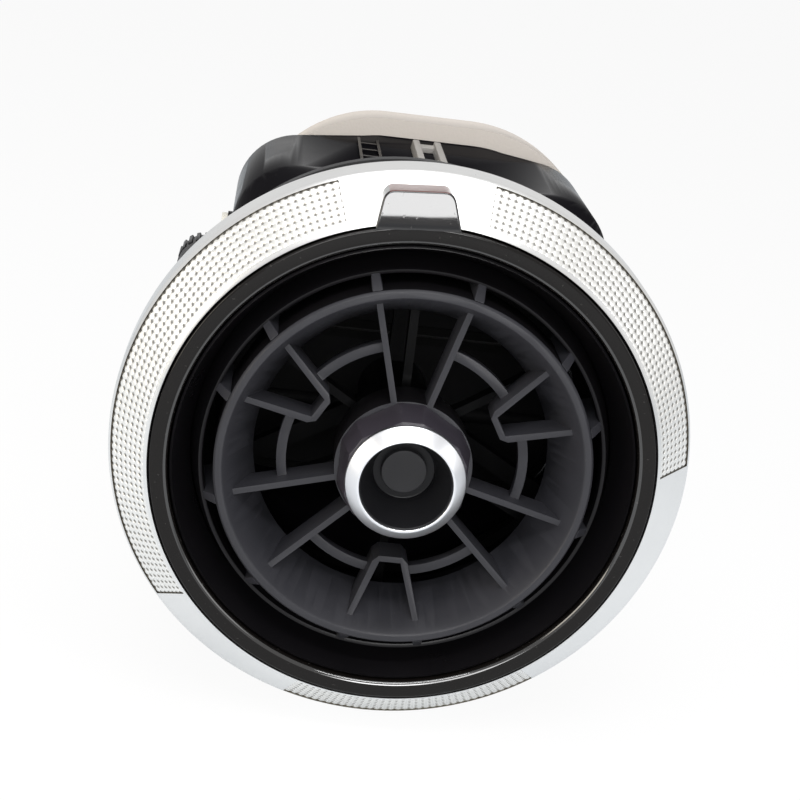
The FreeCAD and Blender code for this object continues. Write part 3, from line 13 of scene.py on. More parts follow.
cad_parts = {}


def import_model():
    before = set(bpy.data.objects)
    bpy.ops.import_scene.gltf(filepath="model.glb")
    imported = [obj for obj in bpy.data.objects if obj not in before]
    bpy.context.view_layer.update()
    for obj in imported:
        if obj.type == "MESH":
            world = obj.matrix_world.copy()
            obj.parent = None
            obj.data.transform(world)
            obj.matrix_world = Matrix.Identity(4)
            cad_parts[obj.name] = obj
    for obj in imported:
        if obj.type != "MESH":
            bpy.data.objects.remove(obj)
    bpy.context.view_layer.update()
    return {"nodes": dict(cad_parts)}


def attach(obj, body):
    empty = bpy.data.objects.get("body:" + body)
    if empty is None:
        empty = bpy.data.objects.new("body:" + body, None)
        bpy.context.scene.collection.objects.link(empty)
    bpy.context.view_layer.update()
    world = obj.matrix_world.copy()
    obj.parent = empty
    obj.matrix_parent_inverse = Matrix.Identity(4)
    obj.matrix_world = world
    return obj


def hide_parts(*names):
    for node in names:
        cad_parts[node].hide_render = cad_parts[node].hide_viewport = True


LOG = logging.getLogger("vent")
MM = 0.001
MERGE = 1e-7
NODE_MERGE = 2e-6
FLAT_DEGREES = 0.6
NODE_SHARP_DEGREES = 28
BEVEL_SEGMENTS = 2
LONGEST_CUT = 0.49
Point = tuple[float, float]
Triple = tuple[float, float, float]
Colour = Triple


def srgb(red: int, green: int, blue: int) -> Colour:
    """Linear colour of an sRGB triple from 0 to 255.

    Args:
        red: red part.
        green: green part.
        blue: blue part.

    Returns:
        The three linear parts.
    """
    def linear(part: int) -> float:
        """One linear part."""
        share = part / 255
        return share / 12.92 if share <= 0.04045 else ((share + 0.055) / 1.055) ** 2.4

    return linear(red), linear(green), linear(blue)


class Value:
    """Output socket of a node that takes part in Python arithmetic."""

    def __init__(self, shader: "Shader", socket: bpy.types.NodeSocket) -> None:
        """Keeps the socket and the shader that it belongs to."""
        self.shader = shader
        self.socket = socket

    def _math(self, operation: str, first: object, second: object = 0.0) -> "Value":
        """Adds one Math node."""
        return self.shader.node("ShaderNodeMath", {"operation": operation}, {0: first, 1: second})

    def __add__(self, other: object) -> "Value":
        """Sum."""
        return self._math("ADD", self, other)

    __radd__ = __add__

    def __sub__(self, other: object) -> "Value":
        """Difference."""
        return self._math("SUBTRACT", self, other)

    def __rsub__(self, other: object) -> "Value":
        """Difference, reflected."""
        return self._math("SUBTRACT", other, self)

    def __mul__(self, other: object) -> "Value":
        """Product."""
        return self._math("MULTIPLY", self, other)

    __rmul__ = __mul__

    def __truediv__(self, other: object) -> "Value":
        """Quotient."""
        return self._math("DIVIDE", self, other)

    def __pow__(self, other: object) -> "Value":
        """Power."""
        return self._math("POWER", self, other)

    def over(self, limit: float) -> "Value":
        """One where the value is over a limit, else nought."""
        return self._math("GREATER_THAN", self, limit)

    def within(self) -> "Value":
        """The value, held between nought and one."""
        clamped = {"operation": "MULTIPLY", "use_clamp": True}
        return self.shader.node("ShaderNodeMath", clamped, {0: self, 1: 1.0})

    def larger(self, other: "Value") -> "Value":
        """The larger of two values."""
        return self._math("MAXIMUM", self, other)

    def from_line(self) -> "Value":
        """Distance to the nearest whole number, from minus a half to a half."""
        return self._math("FRACT", self + 0.5) - 0.5

    def angle_from(self, other: "Value") -> "Value":
        """Angle of the point with this height and the other's width."""
        return self._math("ARCTAN2", self, other)


class Shader:
    """Node tree of a material or of the world."""

    def __init__(self, owner: bpy.types.Material | bpy.types.World) -> None:
        """Keeps the owner and empties its tree."""
        self.owner = owner
        owner.use_nodes = True
        self.tree = owner.node_tree
        self.tree.nodes.clear()

    @classmethod
    def named(cls, name: str) -> "Shader":
        """Shader of a new material."""
        return cls(bpy.data.materials.new(name))

    def node(self, kind: str, settings: Optional[dict] = None, inputs: Optional[dict] = None,
             output: object = 0) -> Value:
        """Adds a node.

        Args:
            kind: the node's type.
            settings: attributes, set first.
            inputs: values or links of its sockets.
            output: the socket that is returned.

        Returns:
            That output socket.
        """
        node = self.tree.nodes.new(kind)
        for key, value in (settings or {}).items():
            setattr(node, key, value)
        for key, value in (inputs or {}).items():
            if isinstance(value, Value):
                self.tree.links.new(value.socket, node.inputs[key])
            else:
                node.inputs[key].default_value = value
        return Value(self, node.outputs[output])

    def place(self) -> Value:
        """Object coordinates."""
        return self.node("ShaderNodeTexCoord", output="Object")

    def along(self, axis: str) -> Value:
        """One of the object coordinates, in metres."""
        return self.node("ShaderNodeSeparateXYZ", None, {0: self.place()}, axis)

    def ray(self, kind: str) -> Value:
        """One for rays of a kind, such as "Is Camera Ray"."""
        return self.node("ShaderNodeLightPath", output=kind)

    def noise(self, size_mm: float, detail: float, stretch: Triple = (1.0, 1.0, 1.0)) -> Value:
        """Noise whose lumps measure about size_mm.

        Args:
            size_mm: size of its lumps.
            detail: octaves.
            stretch: scale along each axis.

        Returns:
            The noise from 0 to 1.
        """
        where = self.node("ShaderNodeMapping", None, {"Vector": self.place(), "Scale": stretch})
        return self.node("ShaderNodeTexNoise", None,
                         {"Vector": where, "Scale": 1 / (size_mm * MM), "Detail": detail}, "Fac")

    def mix(self, share: object, first: object, second: object) -> Value:
        """Mixes two colours."""
        def colour(value: object) -> object:
            """Four-part colour, or the link."""
            return value if isinstance(value, Value) else (*value, 1.0)

        return self.node("ShaderNodeMix", {"data_type": "RGBA"},
                         {0: share, 6: colour(first), 7: colour(second)}, 2)

    def bump(self, height: Value, depth_mm: float, strength: float) -> Value:
        """Bump of a height map."""
        inputs = {"Height": height, "Distance": depth_mm * MM, "Strength": strength}
        return self.node("ShaderNodeBump", None, inputs)

    def finish(self, inputs: dict) -> bpy.types.Material:
        """Ends the tree in a Principled shader.

        Args:
            inputs: that shader's sockets.

        Returns:
            The material.
        """
        self.end("ShaderNodeOutputMaterial", self.node("ShaderNodeBsdfPrincipled", None, inputs))
        return self.owner

    def end(self, kind: str, surface: Value) -> None:
        """Links a surface to a new output node of a kind."""
        output = self.tree.nodes.new(kind)
        self.tree.links.new(surface.socket, output.inputs["Surface"])


@dataclass(frozen=True)
class Moulded:
    """Moulded plastic with a fine grain, slow changes of tone and a little dust."""

    name: str
    colour: Colour
    roughness: float = 0.5
    grain_mm: float = 0.35
    grain_depth_mm: float = 0.012
    tone: float = 0.12
    dust: float = 0.04
    shine: float = 0.3
    index: float = 1.45
    grain_strength: float = 0.6
    cloud_mm: float = 9.0
    cloud_swing: float = 0.16
    speck_mm: float = 0.9
    speck_limit: float = 0.74
    speck: Colour = srgb(150, 148, 144)

    def material(self) -> bpy.types.Material:
        """Builds the material."""
        shader = Shader.named(self.name)
        grain = shader.noise(self.grain_mm, 3.0)
        cloud = shader.noise(self.cloud_mm, 3.0)
        specks = shader.noise(self.speck_mm, 1.0).over(self.speck_limit)
        darker = tuple(part * (1 - self.tone) for part in self.colour)
        lighter = tuple(part * (1 + self.tone) for part in self.colour)
        base = shader.mix(cloud, darker, lighter)
        dusty = shader.mix(specks * self.dust, base, self.speck)
        return shader.finish({
            "Base Color": dusty,
            "Roughness": self.roughness - self.cloud_swing / 2 + self.cloud_swing * cloud,
            "Specular IOR Level": self.shine,
            "IOR": self.index,
            "Normal": shader.bump(grain, self.grain_depth_mm, self.grain_strength),
        })


@dataclass(frozen=True)
class Gloss:
    """Polished plastic with a soft waviness, faint wipe marks and a few dust specks."""

    name: str
    colour: Colour
    roughness: float = 0.06
    shine: float = 0.5
    wave_depth_mm: float = 0.05
    wave_length_mm: float = 14.0
    wave_strength: float = 0.35
    wipe_mm: float = 1.6
    wipe_stretch: Triple = (1.0, 1.0, 7.0)
    wipe_dulling: float = 0.07
    speck_mm: float = 0.7
    speck_limit: float = 0.8
    speck_share: float = 0.1
    speck_dulling: float = 0.12
    speck: Colour = srgb(120, 118, 115)

    def material(self) -> bpy.types.Material:
        """Builds the material."""
        shader = Shader.named(self.name)
        wave = shader.noise(self.wave_length_mm, 1.0)
        wipes = shader.noise(self.wipe_mm, 3.0, self.wipe_stretch) ** 2.0
        specks = shader.noise(self.speck_mm, 0.0).over(self.speck_limit)
        return shader.finish({
            "Base Color": shader.mix(specks * self.speck_share, self.colour, self.speck),
            "Roughness": self.roughness + self.wipe_dulling * wipes + self.speck_dulling * specks,
            "Specular IOR Level": self.shine,
            "Normal": shader.bump(wave, self.wave_depth_mm, self.wave_strength),
        })


@dataclass(frozen=True)
class Metal:
    """Plated or turned metal: satin or bright, with fine streaks and handling marks."""

    name: str
    colour: Colour
    roughness: float
    streak: float = 0.1
    streak_mm: float = 0.25
    streak_stretch: Triple = (1.0, 0.12, 1.0)
    streak_depth_mm: float = 0.004
    streak_strength: float = 0.4
    cloud_mm: float = 11.0
    cloud_dulling: float = 0.05
    cloud_tone: float = 0.93

    def material(self) -> bpy.types.Material:
        """Builds the material."""
        shader = Shader.named(self.name)
        streaks = shader.noise(self.streak_mm, 2.0, self.streak_stretch)
        cloud = shader.noise(self.cloud_mm, 2.0)
        darker = tuple(part * self.cloud_tone for part in self.colour)
        return shader.finish({
            "Base Color": shader.mix(cloud, darker, self.colour),
            "Metallic": 1.0,
            "Roughness": self.roughness + self.streak * (streaks - 0.5) + self.cloud_dulling * cloud,
            "Normal": shader.bump(streaks, self.streak_depth_mm, self.streak_strength),
        })


@dataclass(frozen=True)
class Knurl:
    """Satin metal of the grip fields, with a pit between every four points of the knurl; the pits' dark
    colour is painted shade.

    The pits follow the ring's columns and rows: rim is the ring's radius, lean the cone's run for
    each millimetre of its slant, start and pitch the rows' places on the slant, and turn the ring's
    rest angle.
    """

    name: str
    colour: Colour
    shaded_pit: Colour
    roughness: float = 0.3
    rim: float = 52.0
    lean: float = 0.68
    start: float = 1.02
    pitch: float = 9.2 / 7
    columns: int = 240
    turn: float = 4.3
    pit_size: float = 0.34
    pit_shade_share: float = 0.9
    pit_dulling: float = 0.2
    pit_depth_mm: float = 0.12
    pit_strength: float = 0.8
    cloud_mm: float = 11.0
    cloud_dulling: float = 0.05

    def material(self) -> bpy.types.Material:
        """Builds the material."""
        shader = Shader.named(self.name)
        across, up = shader.along("X"), shader.along("Z")
        column = (up.angle_from(across) - math.radians(self.turn)) * (self.columns / math.tau)
        radius = (across ** 2.0 + up ** 2.0) ** 0.5 / MM
        row = ((self.rim - radius) / self.lean - self.start) / self.pitch
        apart = column.from_line() ** 2.0 + row.from_line() ** 2.0
        # The pit mask darkens the colour as painted shade; it also roughens and sinks the surface.
        shaded_pit = (1.0 - apart / self.pit_size ** 2.0).within()
        cloud = shader.noise(self.cloud_mm, 2.0)
        return shader.finish({
            "Base Color": shader.mix(shaded_pit * self.pit_shade_share, self.colour, self.shaded_pit),
            "Metallic": 1.0,
            "Roughness": self.roughness + self.cloud_dulling * cloud + self.pit_dulling * shaded_pit,
            "Normal": shader.bump(shaded_pit, -self.pit_depth_mm, self.pit_strength),
        })


@dataclass(frozen=True)
class Foam:
    """Open-cell foam strip, darker towards its front."""

    name: str
    colour: Colour
    front: float = 84.0
    fade: float = 10.0
    fade_start: float = 0.25
    front_tone: float = 0.66
    cell_mm: float = 0.55
    cell_share: float = 0.9
    cell_depth_mm: float = 0.06
    cell_strength: float = 0.4
    pore_shade_tone: float = 0.88
    cloud_mm: float = 12.0
    cloud_share: float = 0.7
    roughness: float = 0.82
    cell_dulling: float = 0.15
    shine: float = 0.15

    def material(self) -> bpy.types.Material:
        """Builds the material."""
        shader = Shader.named(self.name)
        lattice = {"Vector": shader.place(), "Scale": 1 / (self.cell_mm * MM)}
        cells = shader.node("ShaderNodeTexVoronoi", None, lattice, "Distance")
        cloud = shader.noise(self.cloud_mm, 2.0)
        # Darker pore centres: painted shade in the foam's cells, with a slow random change of tone.
        darker = tuple(part * self.pore_shade_tone for part in self.colour)
        share = (cells * self.cell_share + cloud * self.cloud_share).within()
        cell_colour = shader.mix(share, darker, self.colour)
        # Darker towards the front, next to the duct.
        darker_front = tuple(part * self.front_tone for part in self.colour)
        rearward = (shader.along("Y") / MM - self.front) / self.fade + self.fade_start
        return shader.finish({
            "Base Color": shader.mix(rearward.within(), darker_front, cell_colour),
            "Roughness": self.roughness + self.cell_dulling * cells,
            "Specular IOR Level": self.shine,
            "Normal": shader.bump(cells, self.cell_depth_mm, self.cell_strength),
        })


class Tint(Enum):
    """Finishes of the vent."""

    SILVER = Metal("satin_silver", srgb(232, 232, 231), 0.28)
    # The second colour is the knurl's pits, painted shade.
    KNURL = Knurl("knurled_silver", srgb(238, 237, 234), srgb(104, 101, 96))
    # Dark colour of the sunk fields' side walls: painted shade of the step.
    GROOVE_SHADE = Metal("knurl_groove_painted_shade", srgb(84, 80, 72), 0.5)
    PIANO = Gloss("piano_black", srgb(14, 12, 11), shine=0.22)
    LIP = Gloss("lip_black", srgb(14, 12, 11), 0.05, shine=1.0, wave_depth_mm=0.02)
    TAB = Gloss("tab_black", srgb(18, 17, 18), 0.05, shine=0.6, wave_depth_mm=0.16)
    # Warm brown of the tab's outer end face: a painted reflection.
    TAB_END_REFLECTION = Gloss("tab_end_painted_reflection", srgb(88, 50, 44), 0.12)
    FUNNEL = Moulded("funnel_black", srgb(13, 12, 14), 0.3, dust=0.0, shine=0.25)
    HOUSING = Moulded("housing_black", srgb(32, 32, 34), 0.5)
    DUCT = Moulded("duct_black", srgb(13, 12, 15), 0.2, grain_depth_mm=0.003, dust=0.01, index=1.14)
    VANES = Moulded("vane_grey", srgb(42, 42, 46), 0.42, dust=0.02, shine=0.3)
    # The shell's own black; on the vane wheel's outer walls it stands as painted shade.
    SHELL_AND_PAINTED_SHADE = Moulded("shell_black_and_painted_shade", srgb(15, 14, 16), 0.36, dust=0.0, shine=0.2)
    # Near-black, dull finish of the inner parts: their dark plastic, darkened further as painted shade of the
    # interior.
    INSIDE_BLACK_AND_PAINTED_SHADE = Moulded("inside_black_and_painted_shade", srgb(8, 8, 9), 0.6, dust=0.0, shine=0.1)
    COLLAR = Moulded("collar_black", srgb(46, 43, 49), 0.34, dust=0.05, shine=0.4)
    CUP = Moulded("cup_black", srgb(20, 20, 22), 0.34, dust=0.0, shine=0.2)
    CHROME = Metal("bright_chrome", srgb(232, 233, 236), 0.27, streak=0.05)
    DISC = Moulded("disc_grey", srgb(44, 44, 46), 0.5, dust=0.02, shine=0.2)
    FOAM = Foam("foam_beige", srgb(214, 207, 200))
    FLAP = Moulded("flap_black", srgb(16, 16, 17), 0.6, dust=0.0, shine=0.1)
    SEAL = Moulded("seal_black", srgb(14, 14, 14), 0.75, grain_mm=0.5, grain_depth_mm=0.03, dust=0.0,
                   shine=0.1)
    RAIL = Moulded("rail_grey", srgb(150, 147, 143), 0.45)
    GEAR = Moulded("gear_black", srgb(16, 16, 18), 0.3, dust=0.01, shine=0.25)
    ACETAL = Moulded("acetal_white", srgb(214, 211, 202), 0.42, grain_depth_mm=0.004)
    SPRING = Metal("spring_steel", srgb(172, 174, 178), 0.34)
    SCREW = Metal("screw_steel", srgb(96, 96, 100), 0.36)


FINISHES: dict[Tint, bpy.types.Material] = {}


def dress(piece: bpy.types.Object, *tints: Tint) -> None:
    """Gives a piece its finishes, whatever it had before.

    Args:
        piece: the object.
        tints: its finishes, in the order of its faces' material numbers.
    """
    if piece.data.materials:
        piece.data.materials.clear()
    for tint in tints:
        if tint not in FINISHES:
            FINISHES[tint] = tint.value.material()
        piece.data.materials.append(FINISHES[tint])


def lathe(profile: Iterable[Point], steps: int) -> bmesh.types.BMesh:
    """Turns a closed profile of (radius, depth) in millimetres round the vent's axis.

    Args:
        profile: corners of the profile.
        steps: faces round the turn.

    Returns:
        The turned mesh.
    """
    mesh = bmesh.new()
    corners = [mesh.verts.new((radius * MM, depth * MM, 0.0)) for radius, depth in profile]
    for first, second in zip(corners, corners[1:] + corners[:1]):
        mesh.edges.new((first, second))
    bmesh.ops.spin(mesh, geom=mesh.verts[:] + mesh.edges[:], cent=(0, 0, 0), axis=(0, 1, 0),
                   angle=math.tau, steps=steps, use_merge=True)
    bmesh.ops.remove_doubles(mesh, verts=mesh.verts[:], dist=MERGE)
    bmesh.ops.recalc_face_normals(mesh, faces=mesh.faces[:])
    return mesh


def rounded(profile: Sequence[Point], radii: Sequence[float], pieces: int = 4) -> list[Point]:
    """Rounds the corners of a closed profile.

    Args:
        profile: its corners.
        radii: length cut from both sides of each corner.
        pieces: segments of each curve.

    Returns:
        The corners of the rounded profile.
    """
    result = []
    count = len(profile)
    for index, (corner, cut) in enumerate(zip(profile, radii)):
        if not cut:
            result.append(corner)
            continue
        middle = Vector(corner)
        ends = []
        for other in (profile[index - 1], profile[(index + 1) % count]):
            side = Vector(other) - middle
            ends.append(middle + side.normalized() * min(cut, side.length * LONGEST_CUT))
        for step in range(pieces + 1):
            share = step / pieces
            point = ends[0].lerp(middle, share).lerp(middle.lerp(ends[1], share), share)
            result.append((point.x, point.y))
    return result


def piece_from(mesh: bmesh.types.BMesh, name: str, tint: Tint | tuple[Tint, ...], sharp_degrees: float,
               bevel_mm: float = 0.0) -> bpy.types.Object:
    """Turns a bmesh into a smooth-shaded object.

    Args:
        mesh: the bmesh, which is freed.
        name: the piece's name.
        tint: its finish, or its finishes in the order of the faces' material numbers.
        sharp_degrees: edges over this angle stay sharp or are bevelled.
        bevel_mm: width of a bevel on its sharp edges, or nought.

    Returns:
        The object, in the scene.
    """
    data = bpy.data.meshes.new(name)
    mesh.to_mesh(data)
    mesh.free()
    data.shade_smooth()
    piece = bpy.data.objects.new(name, data)
    bpy.context.scene.collection.objects.link(piece)
    if bevel_mm:
        bevel = piece.modifiers.new("EdgeRound", "BEVEL")
        bevel.width = bevel_mm * MM
        bevel.segments = BEVEL_SEGMENTS
        bevel.limit_method = "ANGLE"
        bevel.angle_limit = math.radians(sharp_degrees)
        bevel.harden_normals = True
    else:
        data.set_sharp_from_angle(angle=math.radians(sharp_degrees))
    dress(piece, *(tint if isinstance(tint, tuple) else (tint,)))
    return piece


def eased(node: bpy.types.Object, name: str, tint: Tint, width_mm: float = 0.0) -> bpy.types.Object:
    """Copy of a CAD node whose edges are rounded off.

    Args:
        node: the CAD node.
        name: the new piece's name.
        tint: its finish.
        width_mm: width of the rounding, or nought.

    Returns:
        The copy, at the origin.
    """
    mesh = bmesh.new()
    mesh.from_mesh(node.data)
    mesh.transform(node.matrix_world)
    bmesh.ops.remove_doubles(mesh, verts=mesh.verts[:], dist=NODE_MERGE)
    bmesh.ops.dissolve_limit(mesh, angle_limit=math.radians(FLAT_DEGREES), verts=mesh.verts[:],
                             edges=mesh.edges[:])
    return piece_from(mesh, name, tint, NODE_SHARP_DEGREES, width_mm)


def settle(piece: bpy.types.Object, body: str, nodes: Sequence[str]) -> None:
    """Puts a piece on its body, in place of CAD nodes.

    Args:
        piece: the object.
        body: the CAD body that it moves with.
        nodes: the CAD nodes that it stands for.
    """
    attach(piece, body)
    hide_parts(*nodes)
    LOG.info("%s on %s, %d faces", piece.name, body, len(piece.data.polygons))


def turn_to_rest(piece: bpy.types.Object, degrees: float) -> None:
    """Turns a piece of the ring to its place at rest."""
    piece.data.transform(Matrix.Rotation(math.radians(-degrees), 4, "Y"))


def of_kind(geometry: Iterable[object], kind: type) -> list:
    """The elements of one kind among those that an operator returns."""
    return [item for item in geometry if isinstance(item, kind)]


@dataclass
class SilverRing:
    """Silver turning ring with its three knurled grip fields."""

    rim: float = 52.0
    front_radius: float = 44.4
    height: float = 8.2
    side: float = 6.5
    wall: float = 1.6
    rest_turn: float = 4.3
    rim_round: tuple[Point, ...] = ((0.0, 0.7), (0.04, 0.25), (0.2, -0.1))
    front_round: tuple[Point, ...] = ((0.15, 0.12), (0.0, 0.45))
    front_bevel: tuple[Point, ...] = ((0.9, 0.0), (0.45, -0.03))
    field_start: float = 0.7
    field_width: float = 9.2
    knurl_depth: float = 0.3
    point_height: float = 0.22
    columns: int = 240
    rows: int = 7
    fields: tuple[Point, ...] = ((-90.0, -15.0), (15.0, 123.0), (157.5, 211.5))

    @property
    def run(self) -> float:
        """Width of the cone, seen from the front."""
        return self.rim - self.front_radius

    @property
    def slant(self) -> float:
        """Width of the cone's face."""
        return math.hypot(self.run, self.height)

    def cone(self, along: float, out: float = 0.0) -> Point:
        """Point of the cone, a distance from its rim and a height out of its face."""
        return (self.rim - along * self.run / self.slant + out * self.height / self.slant,
                -along * self.height / self.slant - out * self.run / self.slant)

    def profile(self) -> list[Point]:
        """Section of the ring, with a corner at each edge of the knurl's rows."""
        row_width = self.field_width / self.rows
        outline = [(self.rim, self.side)]
        outline += [(self.rim - inward, depth) for inward, depth in self.rim_round]
        outline += [self.cone(self.field_start + row_width * row) for row in range(self.rows + 1)]
        outline += [self.cone(self.slant - back, out) for back, out in self.front_bevel]
        outline += [(self.front_radius + outward, depth - self.height) for outward, depth in self.front_round]
        outline += [
            (self.front_radius, 1.3 * self.wall - self.height),
            (self.rim - self.wall, 0.5 * self.wall),
            (self.rim - self.wall, self.side),
        ]
        return outline

    def gripped(self, face: bmesh.types.BMFace) -> bool:
        """Says whether a face lies in one of the grip fields of the cone."""
        centre = face.calc_center_median()
        radius = math.hypot(centre.x, centre.z) / MM
        inner, outer = self.cone(self.field_start + self.field_width), self.cone(self.field_start)
        on_cone = inner[0] < radius < outer[0] and face.normal.y < -0.2 and centre.y < 0.2 * MM
        angle = math.degrees(math.atan2(centre.z, centre.x)) - 90
        return on_cone and any(start < (angle - start) % 360 + start < end for start, end in self.fields)

    def build(self) -> None:
        """Builds the ring: its cone's fields are sunk and each of their faces is drawn to a point."""
        tints = (Tint.SILVER, Tint.KNURL, Tint.GROOVE_SHADE)
        mesh = lathe(self.profile(), self.columns)
        before = set(mesh.faces)
        grip = [face for face in mesh.faces if self.gripped(face)]
        sunk = bmesh.ops.extrude_face_region(mesh, geom=grip)
        bmesh.ops.delete(mesh, geom=grip, context="FACES_ONLY")
        way = Vector((self.height, -self.run)).normalized()
        for vertex in of_kind(sunk["geom"], bmesh.types.BMVert):
            flat = Vector((vertex.co.x, 0, vertex.co.z)).normalized()
            vertex.co -= (flat * way.x + Vector((0, way.y, 0))) * self.knurl_depth * MM
        # The new side walls of the sunk fields take the dark groove finish: painted shade of the step.
        for face in mesh.faces:
            if face not in before:
                face.material_index = tints.index(Tint.GROOVE_SHADE)
        floor = of_kind(sunk["geom"], bmesh.types.BMFace)
        for face in floor:
            face.material_index = tints.index(Tint.KNURL)
        bmesh.ops.poke(mesh, faces=floor, offset=self.point_height * MM, center_mode="MEAN")
        bmesh.ops.recalc_face_normals(mesh, faces=mesh.faces[:])
        ring = piece_from(mesh, "silver_ring", tints, 34)
        turn_to_rest(ring, self.rest_turn)
        settle(ring, "ring", ["knurled_ring"])


@dataclass
class GlossBezel:
    """Gloss black bezel with the grip tab."""

    inner: float = 41.0
    outer: float = 44.15
    front: float = 8.5
    rear: float = 0.9
    wall: float = 1.6
    lip: float = 0.8
    lip_round: float = 1.3
    outer_round: float = 0.5
    rest_turn: float = 4.3
    tab_reach: float = 49.9
    tab_root: float = 14.5
    tab_tip: float = 11.5
    tab_corner: float = 1.8
    tab_tip_height: float = 7.0
    tab_seat: float = 0.9
    tab_rear: float = 0.8
    tab_slope_start: float = 0.2
    tab_underside: float = 5.4
    tab_underside_rise: float = 4.5
    tab_edge: float = 0.35

    def build(self) -> None:
        """Builds the bezel and its tab."""
        profile = [
            (self.inner, -self.front),
            (self.outer, -self.front),
            (self.outer, self.wall - self.front),
            (self.inner + self.wall, self.wall - self.front),
            (self.inner + self.wall, self.rear),
            (self.inner, self.rear),
        ]
        mesh = lathe(rounded(profile, (self.lip_round, self.outer_round, 0, 0, 0, 0), 8), 256)
        for face in mesh.faces:
            middle = face.calc_center_median() / MM
            inside = math.hypot(middle.x, middle.z) < self.inner + self.lip
            face.material_index = int(inside and middle.y < self.lip - self.front)
        bezel = piece_from(mesh, "gloss_bezel", (Tint.PIANO, Tint.LIP), 35)
        for piece in (bezel, self.tab()):
            turn_to_rest(piece, self.rest_turn)
            settle(piece, "ring", ["bezel_ring"])

    def tab(self) -> bpy.types.Object:
        """Grip tab: a rounded tongue, cut sloping above and below."""
        root, tip = self.tab_root / 2, self.tab_tip / 2
        start = self.outer - self.tab_seat
        corners = [(-root, start), (root, start), (tip, self.tab_reach), (-tip, self.tab_reach)]
        outline = rounded(corners, (0, 0, self.tab_corner, self.tab_corner), 6)
        mesh = bmesh.new()
        edge = [mesh.verts.new((x * MM, -self.front * MM, z * MM)) for x, z in outline]
        face = mesh.faces.new(edge)
        grown = bmesh.ops.extrude_face_region(mesh, geom=[face])
        moved = of_kind(grown["geom"], bmesh.types.BMVert)
        bmesh.ops.translate(mesh, verts=moved, vec=(0, (self.front - self.tab_rear) * MM, 0))
        bend = self.outer + self.tab_slope_start
        self.slice(mesh, (bend, -self.front),
                   (self.tab_reach + 1 - bend, self.front - self.tab_tip_height), -1)
        self.slice(mesh, (self.outer, -self.tab_underside),
                   (self.tab_reach - self.outer, self.tab_underside_rise), 1)
        bmesh.ops.recalc_face_normals(mesh, faces=mesh.faces[:])
        for face in mesh.faces:
            # The outer end face takes the warm brown finish: a painted reflection.
            face.material_index = int(face.normal.z > 0.9)
        return piece_from(mesh, "grip_tab", (Tint.TAB, Tint.TAB_END_REFLECTION), 20, self.tab_edge)

    @staticmethod
    def slice(mesh: bmesh.types.BMesh, start: Point, way: Point, side: int) -> None:
        """Cuts the tongue along a plane through (radius, depth) and closes the cut.

        Args:
            mesh: the tongue.
            start: a point of the plane.
            way: its direction in the (radius, depth) plane.
            side: 1 to remove what is behind it, -1 to remove what is in front.
        """
        normal = Vector((0, way[0], -way[1])).normalized() * side
        cut = bmesh.ops.bisect_plane(mesh, geom=mesh.verts[:] + mesh.edges[:] + mesh.faces[:], dist=MERGE,
                                     plane_co=(0, start[1] * MM, start[0] * MM), plane_no=normal,
                                     clear_outer=True)
        bmesh.ops.contextual_create(mesh, geom=of_kind(cut["geom_cut"], bmesh.types.BMEdge))


